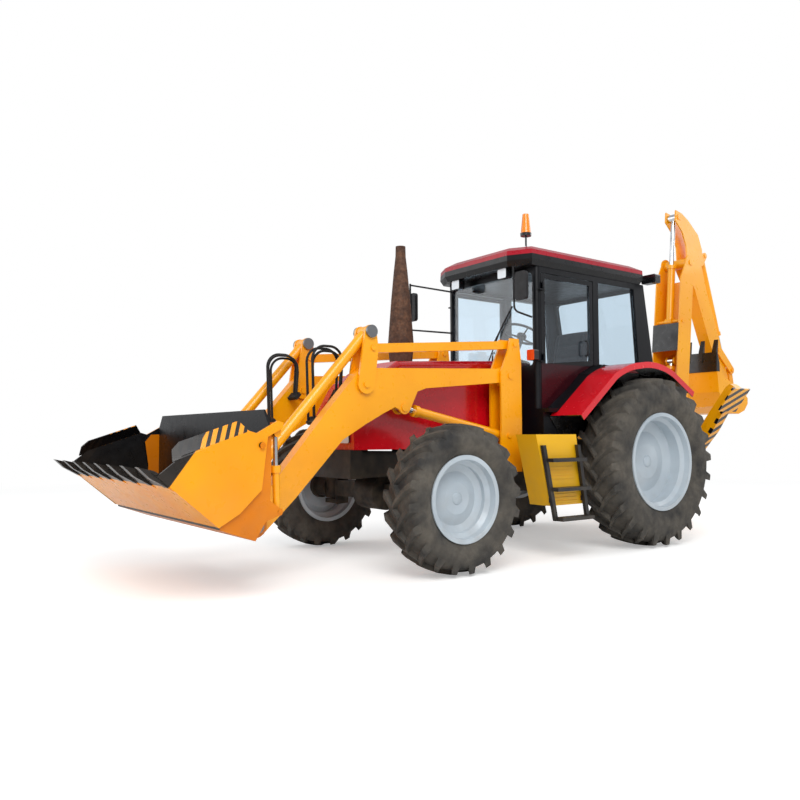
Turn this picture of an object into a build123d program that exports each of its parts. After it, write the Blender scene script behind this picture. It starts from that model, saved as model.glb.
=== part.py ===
"""Farm-tractor backhoe loader: a four-wheel-drive tractor with a self-levelling
front loader, a clam-type front bucket and a kingpost backhoe folded at the rear.

Frame: +X forward, +Y to the machine's left, +Z up, ground at Z = 0, millimetres.
"""
from math import asin, atan2, cos, degrees, hypot, radians, sin, sqrt
import os

from build123d import *

os.makedirs("parts", exist_ok=True)

# ------------------------------------------------------------------ driving sizes
WHEELBASE = 2450.0
REAR_AXLE_X = -870.0          # puts the middle of the overall length at X = 0
FRONT_AXLE_X = REAR_AXLE_X + WHEELBASE

PIN_FIT = 0.5                 # radial play of a hinge pin in its hole
SIDE_GAP = 7.0                # play between a hinged eye and its fork plates
SEAT_GAP = 0.3                # rest gap between pieces bolted together

# wheels: overall radius, section width, rim flange radius, rim width
FRONT_TYRE_R, FRONT_TYRE_W = 568.0, 360.0
FRONT_RIM_R, FRONT_RIM_W = 330.0, 290.0
REAR_TYRE_R, REAR_TYRE_W = 793.0, 440.0
REAR_RIM_R, REAR_RIM_W = 457.0, 380.0
RIM_EDGE_Y = 1128.0           # outer rim edge, both axles
FRONT_TRACK_Y = RIM_EDGE_Y - FRONT_RIM_W / 2
REAR_TRACK_Y = RIM_EDGE_Y - REAR_RIM_W / 2
LUG_H = 32.0                  # height of the tread lugs
BEAD_GAP = 0.3                # rest gap between tyre and rim

# steering
KINGPIN_Y = 740.0
STEER_MAX = 28.0

# chassis
RAIL_Y, RAIL_W = 245.3, 70.0
RAIL_Z = 760.0
CAB_FLOOR, CAB_WAIST, CAB_TOP = 1040.0, 1690.0, 2590.0

# loader, side view points (x, z)
ARM_Y, ARM_W = 490.0, 100.0
FORK_W = 20.0                 # thickness of fork, rocker and ear plates
ARM_PIVOT = (REAR_AXLE_X + 1430, 1570.0)
LEVEL_OFFSET = (-60.0, 285.0)         # from an arm pivot to the levelling rod pin
ROCKER_PIVOT = (REAR_AXLE_X + 2965, 1440.0)
ROCKER_TOP = (-40.0, 410.0)           # from the rocker pivot to the tilt ram pin
BUCKET_HINGE = (REAR_AXLE_X + 3880, 420.0)
LIFT_BASE = (REAR_AXLE_X + 1450, 1040.0)
LIFT_EYE = (REAR_AXLE_X + 2580, 1270.0)
TILT_EYE = (BUCKET_HINGE[0] + ROCKER_TOP[0], BUCKET_HINGE[1] + ROCKER_TOP[1])

# front bucket
BUCKET_HALF_W = 1050.0
PLATE = 16.0
JAW_PIVOT = (REAR_AXLE_X + 4085, 985.0)
HEEL = (REAR_AXLE_X + 4360, 490.0)
LIP = (REAR_AXLE_X + 4745, 812.0)
JAW_LEVER = (REAR_AXLE_X + 3960, 1060.0)
JAW_RAM_BASE = (REAR_AXLE_X + 3945, 560.0)
JAW_RAM_Y = 985.0

# backhoe, side view points (x, z)
SWING_X = REAR_AXLE_X - 1530
SWING_LOW, SWING_TOP = 540.0, 980.0  # faces that the swing post turns between
BOOM_FOOT = (REAR_AXLE_X - 1700, 750.0)
BOOM_TIP = (REAR_AXLE_X - 2020, 3120.0)
BOOM_W, BOOM_PLATE = 350.0, 16.0
STICK_W = 150.0
STICK_TIP = (REAR_AXLE_X - 2930, 1620.0)
HORN_TIP = (REAR_AXLE_X - 1950, 3690.0)
STICK_RAM_BASE = (REAR_AXLE_X - 1825, 2400.0)
BOOM_RAM_BASE = (REAR_AXLE_X - 1600, 1110.0)
BOOM_RAM_EYE = (REAR_AXLE_X - 1850, 1930.0)
HOE_ROCKER_PIVOT = (REAR_AXLE_X - 2715, 2115.0)
HOE_ROCKER_END = (REAR_AXLE_X - 3000, 1870.0)
HOE_LINK_PIN = (REAR_AXLE_X - 3095, 1432.0)
HOE_RAM_BASE = (REAR_AXLE_X - 2510, 3290.0)
HOE_BUCKET_W = 600.0

# stabiliser legs, rear view points (y, z)
LEG_X, LEG_W = REAR_AXLE_X - 1180, 120.0
LEG_PIVOT = (640.0, 800.0)
LEG_END = (1170.0, 1530.0)
LEG_RAM_BASE = (180.0, 1150.0)
LEG_RAM_EYE = (644.0, 1015.0)
LEG_SWEEP = 86.0              # degrees the rod turns about its eye as the leg goes down


def side_plane(y):
    """Side view plane at y: sketch x is +X and sketch y is +Z."""
    return Plane.XZ.offset(-y)


def rear_plane(x):
    """Cross-section plane at x: sketch x is +Y and sketch y is +Z."""
    return Plane.YZ.offset(x)


def away(p, q, d):
    """The point at distance d from p towards q."""
    length = hypot(q[0] - p[0], q[1] - p[1])
    return (p[0] + (q[0] - p[0]) * d / length, p[1] + (q[1] - p[1]) * d / length)


def shifted(p, offset):
    return (p[0] + offset[0], p[1] + offset[1])


def finish(piece, label):
    """Label a finished piece and write it to its own file."""
    piece.part.label = label
    export_step(piece.part, "parts/" + label + ".step")


def disc(plane_y, centre, radius, width):
    """A disc across the machine: width centred on plane_y."""
    with BuildPart() as b:
        with BuildSketch(side_plane(plane_y)):
            with Locations(centre):
                Circle(radius)
        extrude(amount=width / 2, both=True)
    return b.part


def link(plane, p, q, rp, rq, width):
    """A flat link whose outline is the hull of two circles."""
    with BuildPart() as b:
        with BuildSketch(plane):
            with Locations(p):
                Circle(rp)
            with Locations(q):
                Circle(rq)
            make_hull()
        extrude(amount=width / 2, both=True)
    return b.part


def along(plane, p, q, start):
    """Work plane at distance start from p, facing q."""
    a, b = plane.from_local_coords(Vector(*p)), plane.from_local_coords(Vector(*q))
    d = (b - a).normalized()
    return Plane(origin=a + d * start, x_dir=plane.z_dir, z_dir=d)


def ram_sizes(p, q, retract, extend, eye_r):
    """Barrel and rod lengths of a ram whose pins stand at p and q."""
    pins = hypot(q[0] - p[0], q[1] - p[1])
    base = eye_r + 25
    rod = pins - retract - base
    barrel = pins - retract - eye_r - 30
    return pins, rod, barrel


def ram_barrel(plane, p, q, retract, extend, bore, wall, eye_r, eye_w, pin_r):
    """Ram barrel with its base eye, bored for the rod."""
    pins, rod, barrel = ram_sizes(p, q, retract, extend, eye_r)
    with BuildPart() as b:
        with BuildSketch(along(plane, p, q, 0)):
            Circle(bore + wall)
        extrude(amount=barrel)
        with BuildSketch(along(plane, p, q, barrel - 45)):
            Circle(bore + wall + 9)
        extrude(amount=45)
        add(link(plane, p, away(p, q, 1), eye_r, eye_r, eye_w))
        with BuildSketch(along(plane, p, q, eye_r + 8)):
            Circle(bore + PIN_FIT)
        extrude(amount=barrel, mode=Mode.SUBTRACT)
        with BuildSketch(plane):
            with Locations(p):
                Circle(pin_r + PIN_FIT)
        extrude(amount=eye_w, both=True, mode=Mode.SUBTRACT)
    return b.part


def ram_rod(plane, p, q, retract, extend, bore, eye_r, eye_w):
    """Ram rod with its eye; the eye is the linkage's open pivot."""
    pins, rod, barrel = ram_sizes(p, q, retract, extend, eye_r)
    with BuildPart() as b:
        with BuildSketch(along(plane, p, q, pins - rod)):
            Circle(bore)
        extrude(amount=rod)
        add(link(plane, q, away(q, p, 1), eye_r, eye_r, eye_w))
    return b.part


def plates(outline, rounds, holes, mids, thick, plane_of=side_plane):
    """Equal plates on several mid-planes: an outline, added rounds, then holes."""
    with BuildPart() as b:
        for mid in mids:
            with BuildSketch(plane_of(mid)):
                with BuildLine():
                    Polyline(*outline, close=True)
                make_face()
                for centre, radius in rounds:
                    with Locations(centre):
                        Circle(radius)
                for centre, radius in holes:
                    with Locations(centre):
                        Circle(radius, mode=Mode.SUBTRACT)
            extrude(amount=thick / 2, both=True)
    return b.part


def hull_plates(rounds, holes, mids, thick, plane_of=side_plane):
    """Equal plates whose outline is the hull of several rounds."""
    with BuildPart() as b:
        for mid in mids:
            with BuildSketch(plane_of(mid)):
                for centre, radius in rounds:
                    with Locations(centre):
                        Circle(radius)
                make_hull()
                for centre, radius in holes:
                    with Locations(centre):
                        Circle(radius, mode=Mode.SUBTRACT)
            extrude(amount=thick / 2, both=True)
    return b.part


def mirrored(piece):
    return mirror(piece, about=Plane.XZ)


# ------------------------------------------------------------------ wheels
def tyre_band(x, y, radius, width, rim_r, rim_w):
    """Open tyre casing between the rim flanges."""
    tread = radius - LUG_H
    bead = rim_w / 2 - 13
    wide = (rim_r + tread) / 2 + 10
    wall = 26.0
    with BuildPart() as b:
        for inset, mode in ((0.0, Mode.ADD), (wall, Mode.SUBTRACT)):
            with BuildSketch(Plane.YZ.offset(x)):
                with BuildLine():
                    half = [
                        (bead - inset, radius + rim_r - 22 - inset * 2),
                        (bead - inset, radius + rim_r + 14),
                        (width / 2 - inset, radius + wide),
                        (width / 2 - 14 - inset, radius + tread - 45),
                        (width / 2 - 62 - inset * 0.5, radius + tread - inset),
                    ]
                    Polyline(
                        *[(y - u, v) for u, v in half],
                        *[(y + u, v) for u, v in reversed(half)],
                        close=True,
                    )
                make_face()
            revolve(axis=Axis((x, y, radius), (0, 1, 0)), mode=mode)
    return b.part


def lug_ring(x, y, radius, width, lugs, hand):
    """Chevron lugs: straight bars from the middle to each shoulder."""
    tread = radius - LUG_H
    bar_l, bar_w, lean = width * 0.56, 46.0, 38.0
    reach = bar_l / 2 * sin(radians(lean)) + bar_w / 2 * cos(radians(lean))
    top = sqrt(radius**2 - reach**2)
    root = tread - 16
    phase = asin(reach / radius)       # a lug corner stands on the ground
    with BuildPart() as b:
        for side in (1, -1):
            for k in range(lugs):
                turn = radians(360.0 / lugs * (k + (0.5 if side < 0 else 0.0))) + phase
                out = Vector(sin(turn), 0, cos(turn))
                spot = Vector(x, y + side * width * 0.235, radius) + out * root
                with BuildSketch(Plane(origin=spot, x_dir=(0, side, 0), z_dir=out)):
                    Rectangle(bar_l, bar_w, rotation=-side * hand * lean)
                extrude(amount=top - root, taper=6)
    return b.part


WHEELS = (
    # name, x, track y, tyre radius, tyre width, rim radius, rim width, lugs, dish depth
    ("front", FRONT_AXLE_X, FRONT_TRACK_Y, FRONT_TYRE_R, FRONT_TYRE_W, FRONT_RIM_R, FRONT_RIM_W, 16, 35.0),
    ("rear", REAR_AXLE_X, REAR_TRACK_Y, REAR_TYRE_R, REAR_TYRE_W, REAR_RIM_R, REAR_RIM_W, 20, 10.0),
)
HUB_FACE = {}

for name, x, track, t_r, t_w, r_r, r_w, lugs, dish in WHEELS:
    HUB_FACE[name] = track + dish - 18
    for hand, s in (("left", 1), ("right", -1)):
        y = s * track
        with BuildPart() as tyre_piece:
            add(tyre_band(x, y, t_r, t_w, r_r, r_w))
            add(lug_ring(x, y, t_r, t_w, lugs, s))
        finish(tyre_piece, name + "_tyre_" + hand)

        h = r_w / 2
        with BuildPart() as rim_piece:
            with BuildSketch(Plane.YZ.offset(x)):
                with BuildLine():
                    Polyline(
                        (y - s * h, t_r + r_r),
                        (y - s * (h - 12), t_r + r_r),
                        (y - s * (h - 12), t_r + r_r - 22 - BEAD_GAP),
                        (y - s * (h - 60), t_r + r_r - 26),
                        (y - s * (h - 90), t_r + r_r - 60),
                        (y + s * (h - 90), t_r + r_r - 60),
                        (y + s * (h - 60), t_r + r_r - 26),
                        (y + s * (h - 12), t_r + r_r - 22 - BEAD_GAP),
                        (y + s * (h - 12), t_r + r_r),
                        (y + s * h, t_r + r_r),
                        (y + s * (h - 2), t_r + r_r - 34),
                        (y + s * (h - 55), t_r + r_r - 40),
                        (y + s * (h - 84), t_r + r_r - 72),
                        (y - s * (h - 84), t_r + r_r - 72),
                        (y - s * (h - 55), t_r + r_r - 40),
                        (y - s * (h - 2), t_r + r_r - 34),
                        close=True,
                    )
                make_face()
            revolve(axis=Axis((x, y, t_r), (0, 1, 0)))
            with BuildSketch(Plane.YZ.offset(x)):
                with BuildLine():
                    face = y + s * dish
                    Polyline(
                        (face, t_r),
                        (face, t_r + 0.36 * r_r),
                        (face - s * 30, t_r + 0.62 * r_r),
                        (face - s * 5, t_r + r_r - 64),
                        (face - s * 23, t_r + r_r - 64),
                        (face - s * 48, t_r + 0.62 * r_r),
                        (face - s * 18, t_r + 0.36 * r_r),
                        (face - s * 18, t_r),
                        close=True,
                    )
                make_face()
            revolve(axis=Axis((x, y, t_r), (0, 1, 0)))
        finish(rim_piece, name + "_rim_" + hand)

# ------------------------------------------------------------------ running gear
AXLE_R = 60.0
for hand, s in (("left", 1), ("right", -1)):
    face = s * (HUB_FACE["front"] - SEAT_GAP)
    with BuildPart() as knuckle:
        # hub flange and reduction case that the wheel disc is bolted to
        with BuildSketch(side_plane(face)):
            with Locations((FRONT_AXLE_X, FRONT_TYRE_R)):
                Circle(112)
        extrude(amount=s * 45)
        with BuildSketch(side_plane(face - s * 45)):
            with Locations((FRONT_AXLE_X, FRONT_TYRE_R)):
                Circle(92)
        extrude(amount=s * (abs(face) - 45 - KINGPIN_Y - 40))
        # upright barrel round the kingpin
        with BuildSketch(Plane.XY.offset(FRONT_TYRE_R - 95)):
            with Locations((FRONT_AXLE_X, s * KINGPIN_Y)):
                Circle(78)
        extrude(amount=190)
        with BuildSketch(Plane.XY.offset(FRONT_TYRE_R - 200)):
            with Locations((FRONT_AXLE_X, s * KINGPIN_Y)):
                Circle(24)
        extrude(amount=400, mode=Mode.SUBTRACT)
        # steering arm
        with BuildSketch(Plane.XY.offset(FRONT_TYRE_R - 40)):
            with BuildLine():
                Polyline(
                    (FRONT_AXLE_X - 60, s * (KINGPIN_Y - 30)),
                    (FRONT_AXLE_X - 175, s * (KINGPIN_Y - 75)),
                    (FRONT_AXLE_X - 175, s * (KINGPIN_Y - 30)),
                    (FRONT_AXLE_X - 60, s * (KINGPIN_Y + 30)),
                    close=True,
                )
            make_face()
        extrude(amount=40)
    finish(knuckle, "knuckle_" + hand)

with BuildPart() as front_axle:
    with BuildSketch(Plane.XY.offset(FRONT_TYRE_R - 70)):
        with Locations((FRONT_AXLE_X, 0)):
            Rectangle(130, 2 * (KINGPIN_Y - 110))
    extrude(amount=140)
    with BuildSketch(Plane.XZ.offset(-150)):
        with Locations((FRONT_AXLE_X + 30, FRONT_TYRE_R)):
            Circle(150)
    extrude(amount=300)
    for s in (1, -1):
        for low in (FRONT_TYRE_R - 145, FRONT_TYRE_R + 105):
            with BuildSketch(Plane.XY.offset(low)):
                with Locations((FRONT_AXLE_X, s * (KINGPIN_Y - 45))):
                    Rectangle(120, 210)
            extrude(amount=40)
        with BuildSketch(Plane.XY.offset(FRONT_TYRE_R - 145)):
            with Locations((FRONT_AXLE_X, s * (KINGPIN_Y - 130))):
                Rectangle(120, 40)
        extrude(amount=290)
        with BuildSketch(Plane.XY.offset(FRONT_TYRE_R - 150)):
            with Locations((FRONT_AXLE_X, s * KINGPIN_Y)):
                Circle(24 - PIN_FIT)
        extrude(amount=300)
finish(front_axle, "front_axle")

ENGINE_BACK, ENGINE_FRONT = REAR_AXLE_X + 1275, FRONT_AXLE_X - 275
with BuildPart() as drivetrain:
    # gearbox and clutch housing
    with BuildSketch(Plane.XZ.offset(-210)):
        with BuildLine():
            Polyline(
                (REAR_AXLE_X - 260, 560), (REAR_AXLE_X - 260, 1000),
                (REAR_AXLE_X + 500, 1000), (REAR_AXLE_X + 1150, 900),
                (REAR_AXLE_X + 1150, 520), (REAR_AXLE_X + 500, 500), close=True,
            )
        make_face()
    extrude(amount=420)
    # rear axle arms and hubs up to the wheel discs
    for s in (1, -1):
        face = HUB_FACE["rear"] - SEAT_GAP
        with BuildSketch(side_plane(s * face)):
            with Locations((REAR_AXLE_X, REAR_TYRE_R)):
                Circle(150)
        extrude(amount=s * 40)
        with BuildSketch(side_plane(s * face)):
            with Locations((REAR_AXLE_X, REAR_TYRE_R)):
                Circle(85)
        extrude(amount=s * face)
    # posts under the rear of the cab
    for s in (1, -1):
        with BuildSketch(Plane.XY.offset(REAR_TYRE_R + 60)):
            with Locations((REAR_AXLE_X, s * 430)):
                Rectangle(110, 60)
        extrude(amount=CAB_FLOOR - SEAT_GAP - REAR_TYRE_R - 60)
    # engine block and clutch housing
    with BuildSketch(Plane.YZ.offset(ENGINE_BACK)):
        with BuildLine():
            Polyline(
                (-170, 560), (170, 560), (199, 700), (199, 1100), (130, 1290), (-130, 1290), (-199, 1100),
                (-199, 700), close=True,
            )
        make_face()
    extrude(amount=ENGINE_FRONT - ENGINE_BACK)
    with BuildSketch(Plane.YZ.offset(REAR_AXLE_X + 1140)):
        with Locations((0, 735)):
            Rectangle(340, 370)
    extrude(amount=150)
finish(drivetrain, "drivetrain")

# ------------------------------------------------------------------ front frame
FRAME_NOSE = FRONT_AXLE_X + 450
with BuildPart() as half_frame:
    for s in (1, -1):
        with BuildSketch(side_plane(s * (RAIL_Y - RAIL_W / 2))):
            with BuildLine():
                Polyline(
                    (REAR_AXLE_X + 900, 720), (REAR_AXLE_X + 900, 880),
                    (FRAME_NOSE, RAIL_Z + 160), (FRAME_NOSE, RAIL_Z - 60),
                    (FRONT_AXLE_X - 450, 720), close=True,
                )
            make_face()
        extrude(amount=-s * RAIL_W)
    # front bumper and axle saddle
    with BuildSketch(Plane.XY.offset(RAIL_Z - 60)):
        with Locations((FRAME_NOSE - 3, 0)):
            Rectangle(116, 640)
    extrude(amount=230)
    # posts under the front of the cab
    for s in (1, -1):
        with BuildSketch(Plane.XY.offset(850)):
            with Locations((REAR_AXLE_X + 1090, s * RAIL_Y)):
                Rectangle(90, 60)
        extrude(amount=CAB_FLOOR - SEAT_GAP - 850)
    with BuildSketch(Plane.XZ.offset(-(RAIL_Y - RAIL_W / 2))):
        with Locations((FRONT_AXLE_X + 30, FRONT_TYRE_R + 150 + SEAT_GAP + 85)):
            Rectangle(280, 170)
    extrude(amount=2 * RAIL_Y - RAIL_W)
finish(half_frame, "half_frame")


# ------------------------------------------------------------------ bonnet
HOOD_BACK, HOOD_HEEL, HOOD_NOSE = REAR_AXLE_X + 1150, ENGINE_BACK - 15, FRONT_AXLE_X + 485
HOOD_HALF_W, HOOD_SKIN, HOOD_ROUND = 330.0, 8.0, 60.0
HOOD_LOW = RAIL_Z + 170 + SEAT_GAP
BROW = (FRONT_AXLE_X + 290, 1495.0)       # where the top turns down to the grille
CHIN = (HOOD_NOSE, 1140.0)                # where the grille face meets the upright nose
HOOD_TOP_BACK, HOOD_TOP_FRONT = (HOOD_BACK, 1742.0), (FRONT_AXLE_X + 20, 1668.0)
HOOD_SIDE = ((HOOD_BACK, 1300.0), HOOD_TOP_BACK, HOOD_TOP_FRONT, BROW, CHIN, (HOOD_NOSE - 10, HOOD_LOW),
             (HOOD_HEEL, HOOD_LOW), (HOOD_HEEL, 1300.0))
GRILLE_W, GRILLE_H = 460.0, 280.0
GRILLE_PLANE = Plane(origin=((BROW[0] + CHIN[0]) / 2, 0, (BROW[1] + CHIN[1]) / 2), x_dir=(0, 1, 0),
                     z_dir=(BROW[1] - CHIN[1], 0, CHIN[0] - BROW[0]))
NOSE_PLANE = Plane(origin=(HOOD_NOSE - 5, 0, (CHIN[1] + HOOD_LOW) / 2), x_dir=(0, 1, 0),
                   z_dir=(CHIN[1] - HOOD_LOW, 0, -10))


def hood_body(inset):
    """Bonnet block with its long top edges rounded, drawn in by the inset."""
    with BuildPart() as b:
        with BuildSketch(side_plane(0)):
            with BuildLine():
                Polyline(*HOOD_SIDE, close=True)
            make_face()
            if inset:
                offset(amount=-inset, kind=Kind.INTERSECTION)
        extrude(amount=HOOD_HALF_W - inset, both=True)
        tops = [e for e in b.edges() if e.length > 300 and e.center().Z > 1500 and abs(e.center().Y) > 200
                and abs(e.tangent_at(0.5).Y) < 0.1 and abs(e.tangent_at(0.5).X) > 0.3]
        fillet(tops, HOOD_ROUND - inset)
    return b.part


with BuildPart() as hood:
    add(hood_body(0))
    add(hood_body(HOOD_SKIN), mode=Mode.SUBTRACT)
    # open underneath
    with BuildSketch(Plane.XY.offset(HOOD_LOW - 5)):
        with Locations(((HOOD_NOSE + HOOD_HEEL) / 2 - 5, 0)):
            Rectangle(HOOD_NOSE - HOOD_HEEL - 30, 2 * (HOOD_HALF_W - HOOD_SKIN))
    extrude(amount=5 + HOOD_SKIN + 2, mode=Mode.SUBTRACT)
    with BuildSketch(GRILLE_PLANE.offset(-30)):
        Rectangle(GRILLE_W, GRILLE_H)
    extrude(amount=60, mode=Mode.SUBTRACT)
finish(hood, "hood")

SLATS = 9
with BuildPart() as grille:
    with BuildSketch(GRILLE_PLANE.offset(-HOOD_SKIN - 6)):
        Rectangle(GRILLE_W - 2 * SEAT_GAP, GRILLE_H - 2 * SEAT_GAP)
        Rectangle(GRILLE_W - 40, GRILLE_H - 40, mode=Mode.SUBTRACT)
    extrude(amount=20)
    with BuildSketch(GRILLE_PLANE.offset(-HOOD_SKIN)):
        for k in range(SLATS):
            with Locations((0, (k - (SLATS - 1) / 2) * (GRILLE_H - 40) / (SLATS + 1))):
                Rectangle(GRILLE_W - 30, 9)
    extrude(amount=12)
finish(grille, "grille")

# ------------------------------------------------------------------ cab
CAB_REAR, CAB_REAR_TOP, CAB_FRONT = REAR_AXLE_X - 610, REAR_AXLE_X - 450, REAR_AXLE_X + 1135
CAB_HALF_W, TUB_HALF_W, SILL_HALF_W = 620.0, 685.0, 750.0
CAB_WALL, SILL_H = 50.0, 35.0
DOOR_REAR, DOOR_FRONT = REAR_AXLE_X + 350, REAR_AXLE_X + 1085
DOOR_GAP, DOOR_T = 6.0, 26.0
DOOR_LOW = ((DOOR_FRONT, 1285.0), (DOOR_FRONT - 75, 1285.0), (REAR_AXLE_X + 738, 1470.0),
            (REAR_AXLE_X + 560, 1620.0), (DOOR_REAR, 1716.0))
SILL_LOW = (DOOR_LOW[0], (DOOR_FRONT - 110, DOOR_LOW[0][1]), *DOOR_LOW[2:])
DOOR_TOP = CAB_TOP - 55
DOOR_HINGE_X = DOOR_FRONT - DOOR_GAP - 18
DOOR_HINGE_ZS, HINGE_Y = (1720.0, 2380.0), CAB_HALF_W + 14
SCREEN_W, SCREEN_H, SCREEN_Z = 1130.0, 860.0, 2110.0
BACK_W, BACK_H = 1080.0, 800.0
BACK_PLANE = Plane(origin=((CAB_REAR + CAB_REAR_TOP) / 2, 0, (CAB_WAIST + CAB_TOP) / 2), x_dir=(0, 1, 0),
                   z_dir=(CAB_WAIST - CAB_TOP, 0, CAB_REAR_TOP - CAB_REAR))
SIDE_WINDOW = ((REAR_AXLE_X - 360, 1730.0), (REAR_AXLE_X - 290, 2530.0), (REAR_AXLE_X + 270, 2530.0),
               (REAR_AXLE_X + 270, 1730.0))
SILL = [(CAB_FRONT, SILL_LOW[0][1])] + list(SILL_LOW[1:])
CAB_LAYERS = (
    # half width, side outline, mode
    (CAB_HALF_W, ((CAB_FRONT, CAB_FLOOR), (CAB_FRONT, CAB_TOP), (CAB_REAR_TOP, CAB_TOP),
                  (CAB_REAR, CAB_WAIST), (CAB_REAR, CAB_FLOOR)), Mode.ADD),
    (TUB_HALF_W, ((CAB_FRONT, CAB_FLOOR), *SILL, (DOOR_REAR, CAB_WAIST), (CAB_REAR, CAB_WAIST),
                  (CAB_REAR, CAB_FLOOR)), Mode.ADD),
    (SILL_HALF_W, (*SILL, *[(x, z - SILL_H) for x, z in reversed(SILL)]), Mode.ADD),
    (CAB_HALF_W - CAB_WALL, ((CAB_FRONT - CAB_WALL, CAB_FLOOR + 30), (CAB_FRONT - CAB_WALL, CAB_TOP - 30),
                             (CAB_REAR_TOP + CAB_WALL, CAB_TOP - 30), (CAB_REAR + CAB_WALL, CAB_WAIST),
                             (CAB_REAR + CAB_WALL, CAB_FLOOR + 30)), Mode.SUBTRACT),
    (CAB_HALF_W + 10, (*SILL_LOW, (DOOR_REAR, DOOR_TOP), (DOOR_FRONT, DOOR_TOP)), Mode.SUBTRACT),
    (CAB_HALF_W + 10, SIDE_WINDOW, Mode.SUBTRACT),
)

with BuildPart() as cab_frame:
    for half_w, outline, mode in CAB_LAYERS:
        with BuildSketch(side_plane(0)):
            with BuildLine():
                Polyline(*outline, close=True)
            make_face()
        extrude(amount=half_w, both=True, mode=mode)
        if half_w == CAB_HALF_W:
            fillet(cab_frame.edges().filter_by(Axis.Z).group_by(Axis.X)[-1], 40)
    # windscreen and sloping rear window
    with BuildSketch(Plane.YZ.offset(CAB_FRONT - CAB_WALL - 10)):
        with Locations((0, SCREEN_Z)):
            RectangleRounded(SCREEN_W, SCREEN_H, 40)
    extrude(amount=CAB_WALL + 20, mode=Mode.SUBTRACT)
    with BuildSketch(BACK_PLANE):
        RectangleRounded(BACK_W, BACK_H, 40)
    extrude(amount=70, both=True, mode=Mode.SUBTRACT)
    # hinge brackets and pins on the front pillars
    for s in (1, -1):
        for z in DOOR_HINGE_ZS:
            with BuildSketch(Plane.XY.offset(z - 12)):
                with Locations((DOOR_HINGE_X, s * HINGE_Y)):
                    Circle(13)
                with Locations((DOOR_HINGE_X + 28, s * HINGE_Y)):
                    Rectangle(56, 24)
                with Locations((DOOR_FRONT + 18, s * (HINGE_Y - 14))):
                    Rectangle(36, 30)
            extrude(amount=12)
            with BuildSketch(Plane.XY.offset(z - 1)):
                with Locations((DOOR_HINGE_X, s * HINGE_Y)):
                    Circle(7)
            extrude(amount=74)
finish(cab_frame, "cab_frame")

ROOF_REAR, ROOF_FRONT, ROOF_HALF_W = REAR_AXLE_X - 470, REAR_AXLE_X + 1330, 650.0
ROOF_Z = CAB_TOP + SEAT_GAP
ROOF_TOP = ROOF_Z + 192
ROOF_LEVELS = (
    # height, inset of the outline
    (ROOF_Z, 24.0), (ROOF_Z + 50, 0.0), (ROOF_Z + 140, 4.0), (ROOF_TOP, 95.0),
)
with BuildPart() as cab_roof:
    for low, high in zip(ROOF_LEVELS, ROOF_LEVELS[1:]):
        for h, inset in (low, high):
            half, rear, front = ROOF_HALF_W - inset, ROOF_REAR + inset, ROOF_FRONT - inset
            one = [(rear, half - 60), (rear + 60, half), (front - 110, half), (front, half * 0.68)]
            with BuildSketch(Plane.XY.offset(h)):
                with BuildLine():
                    Polyline(*one, *[(x, -y) for x, y in reversed(one)], close=True)
                make_face()
        loft(ruled=True)
finish(cab_roof, "cab_roof")

with BuildPart() as cab_glass:
    with BuildSketch(Plane.YZ.offset(CAB_FRONT - 28)):
        with Locations((0, SCREEN_Z)):
            RectangleRounded(SCREEN_W - 2 * SEAT_GAP, SCREEN_H - 2 * SEAT_GAP, 40)
    extrude(amount=8)
    with BuildSketch(BACK_PLANE.offset(-28)):
        RectangleRounded(BACK_W - 2 * SEAT_GAP, BACK_H - 2 * SEAT_GAP, 40)
    extrude(amount=8)
    for s in (1, -1):
        with BuildSketch(side_plane(s * (CAB_HALF_W - 20))):
            with BuildLine():
                Polyline(*SIDE_WINDOW, close=True)
            make_face()
            offset(amount=-SEAT_GAP, kind=Kind.INTERSECTION)
        extrude(amount=s * 8)
finish(cab_glass, "cab_glass")

for hand, s in (("left", 1), ("right", -1)):
    with BuildPart() as door:
        with BuildSketch(side_plane(s * (CAB_HALF_W - 2))):
            with BuildLine():
                Polyline(*DOOR_LOW, (DOOR_REAR, DOOR_TOP), (DOOR_FRONT, DOOR_TOP), close=True)
            make_face()
            offset(amount=-DOOR_GAP, kind=Kind.INTERSECTION)
            with BuildLine():
                Polyline(
                    (DOOR_FRONT - 60, 1700), (DOOR_REAR + 55, 1755),
                    (DOOR_REAR + 55, DOOR_TOP - 50), (DOOR_FRONT - 60, DOOR_TOP - 50), close=True,
                )
            make_face(mode=Mode.SUBTRACT)
        extrude(amount=s * DOOR_T)
        for z in DOOR_HINGE_ZS:
            with BuildSketch(Plane.XY.offset(z + PIN_FIT)):
                with Locations((DOOR_HINGE_X, s * HINGE_Y)):
                    Circle(13)
                with Locations((DOOR_HINGE_X - 6, s * (HINGE_Y - 10))):
                    Rectangle(14, 20)
                with Locations((DOOR_HINGE_X, s * HINGE_Y)):
                    Circle(7 + PIN_FIT, mode=Mode.SUBTRACT)
            extrude(amount=60)
    finish(door, "door_" + hand)

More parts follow.
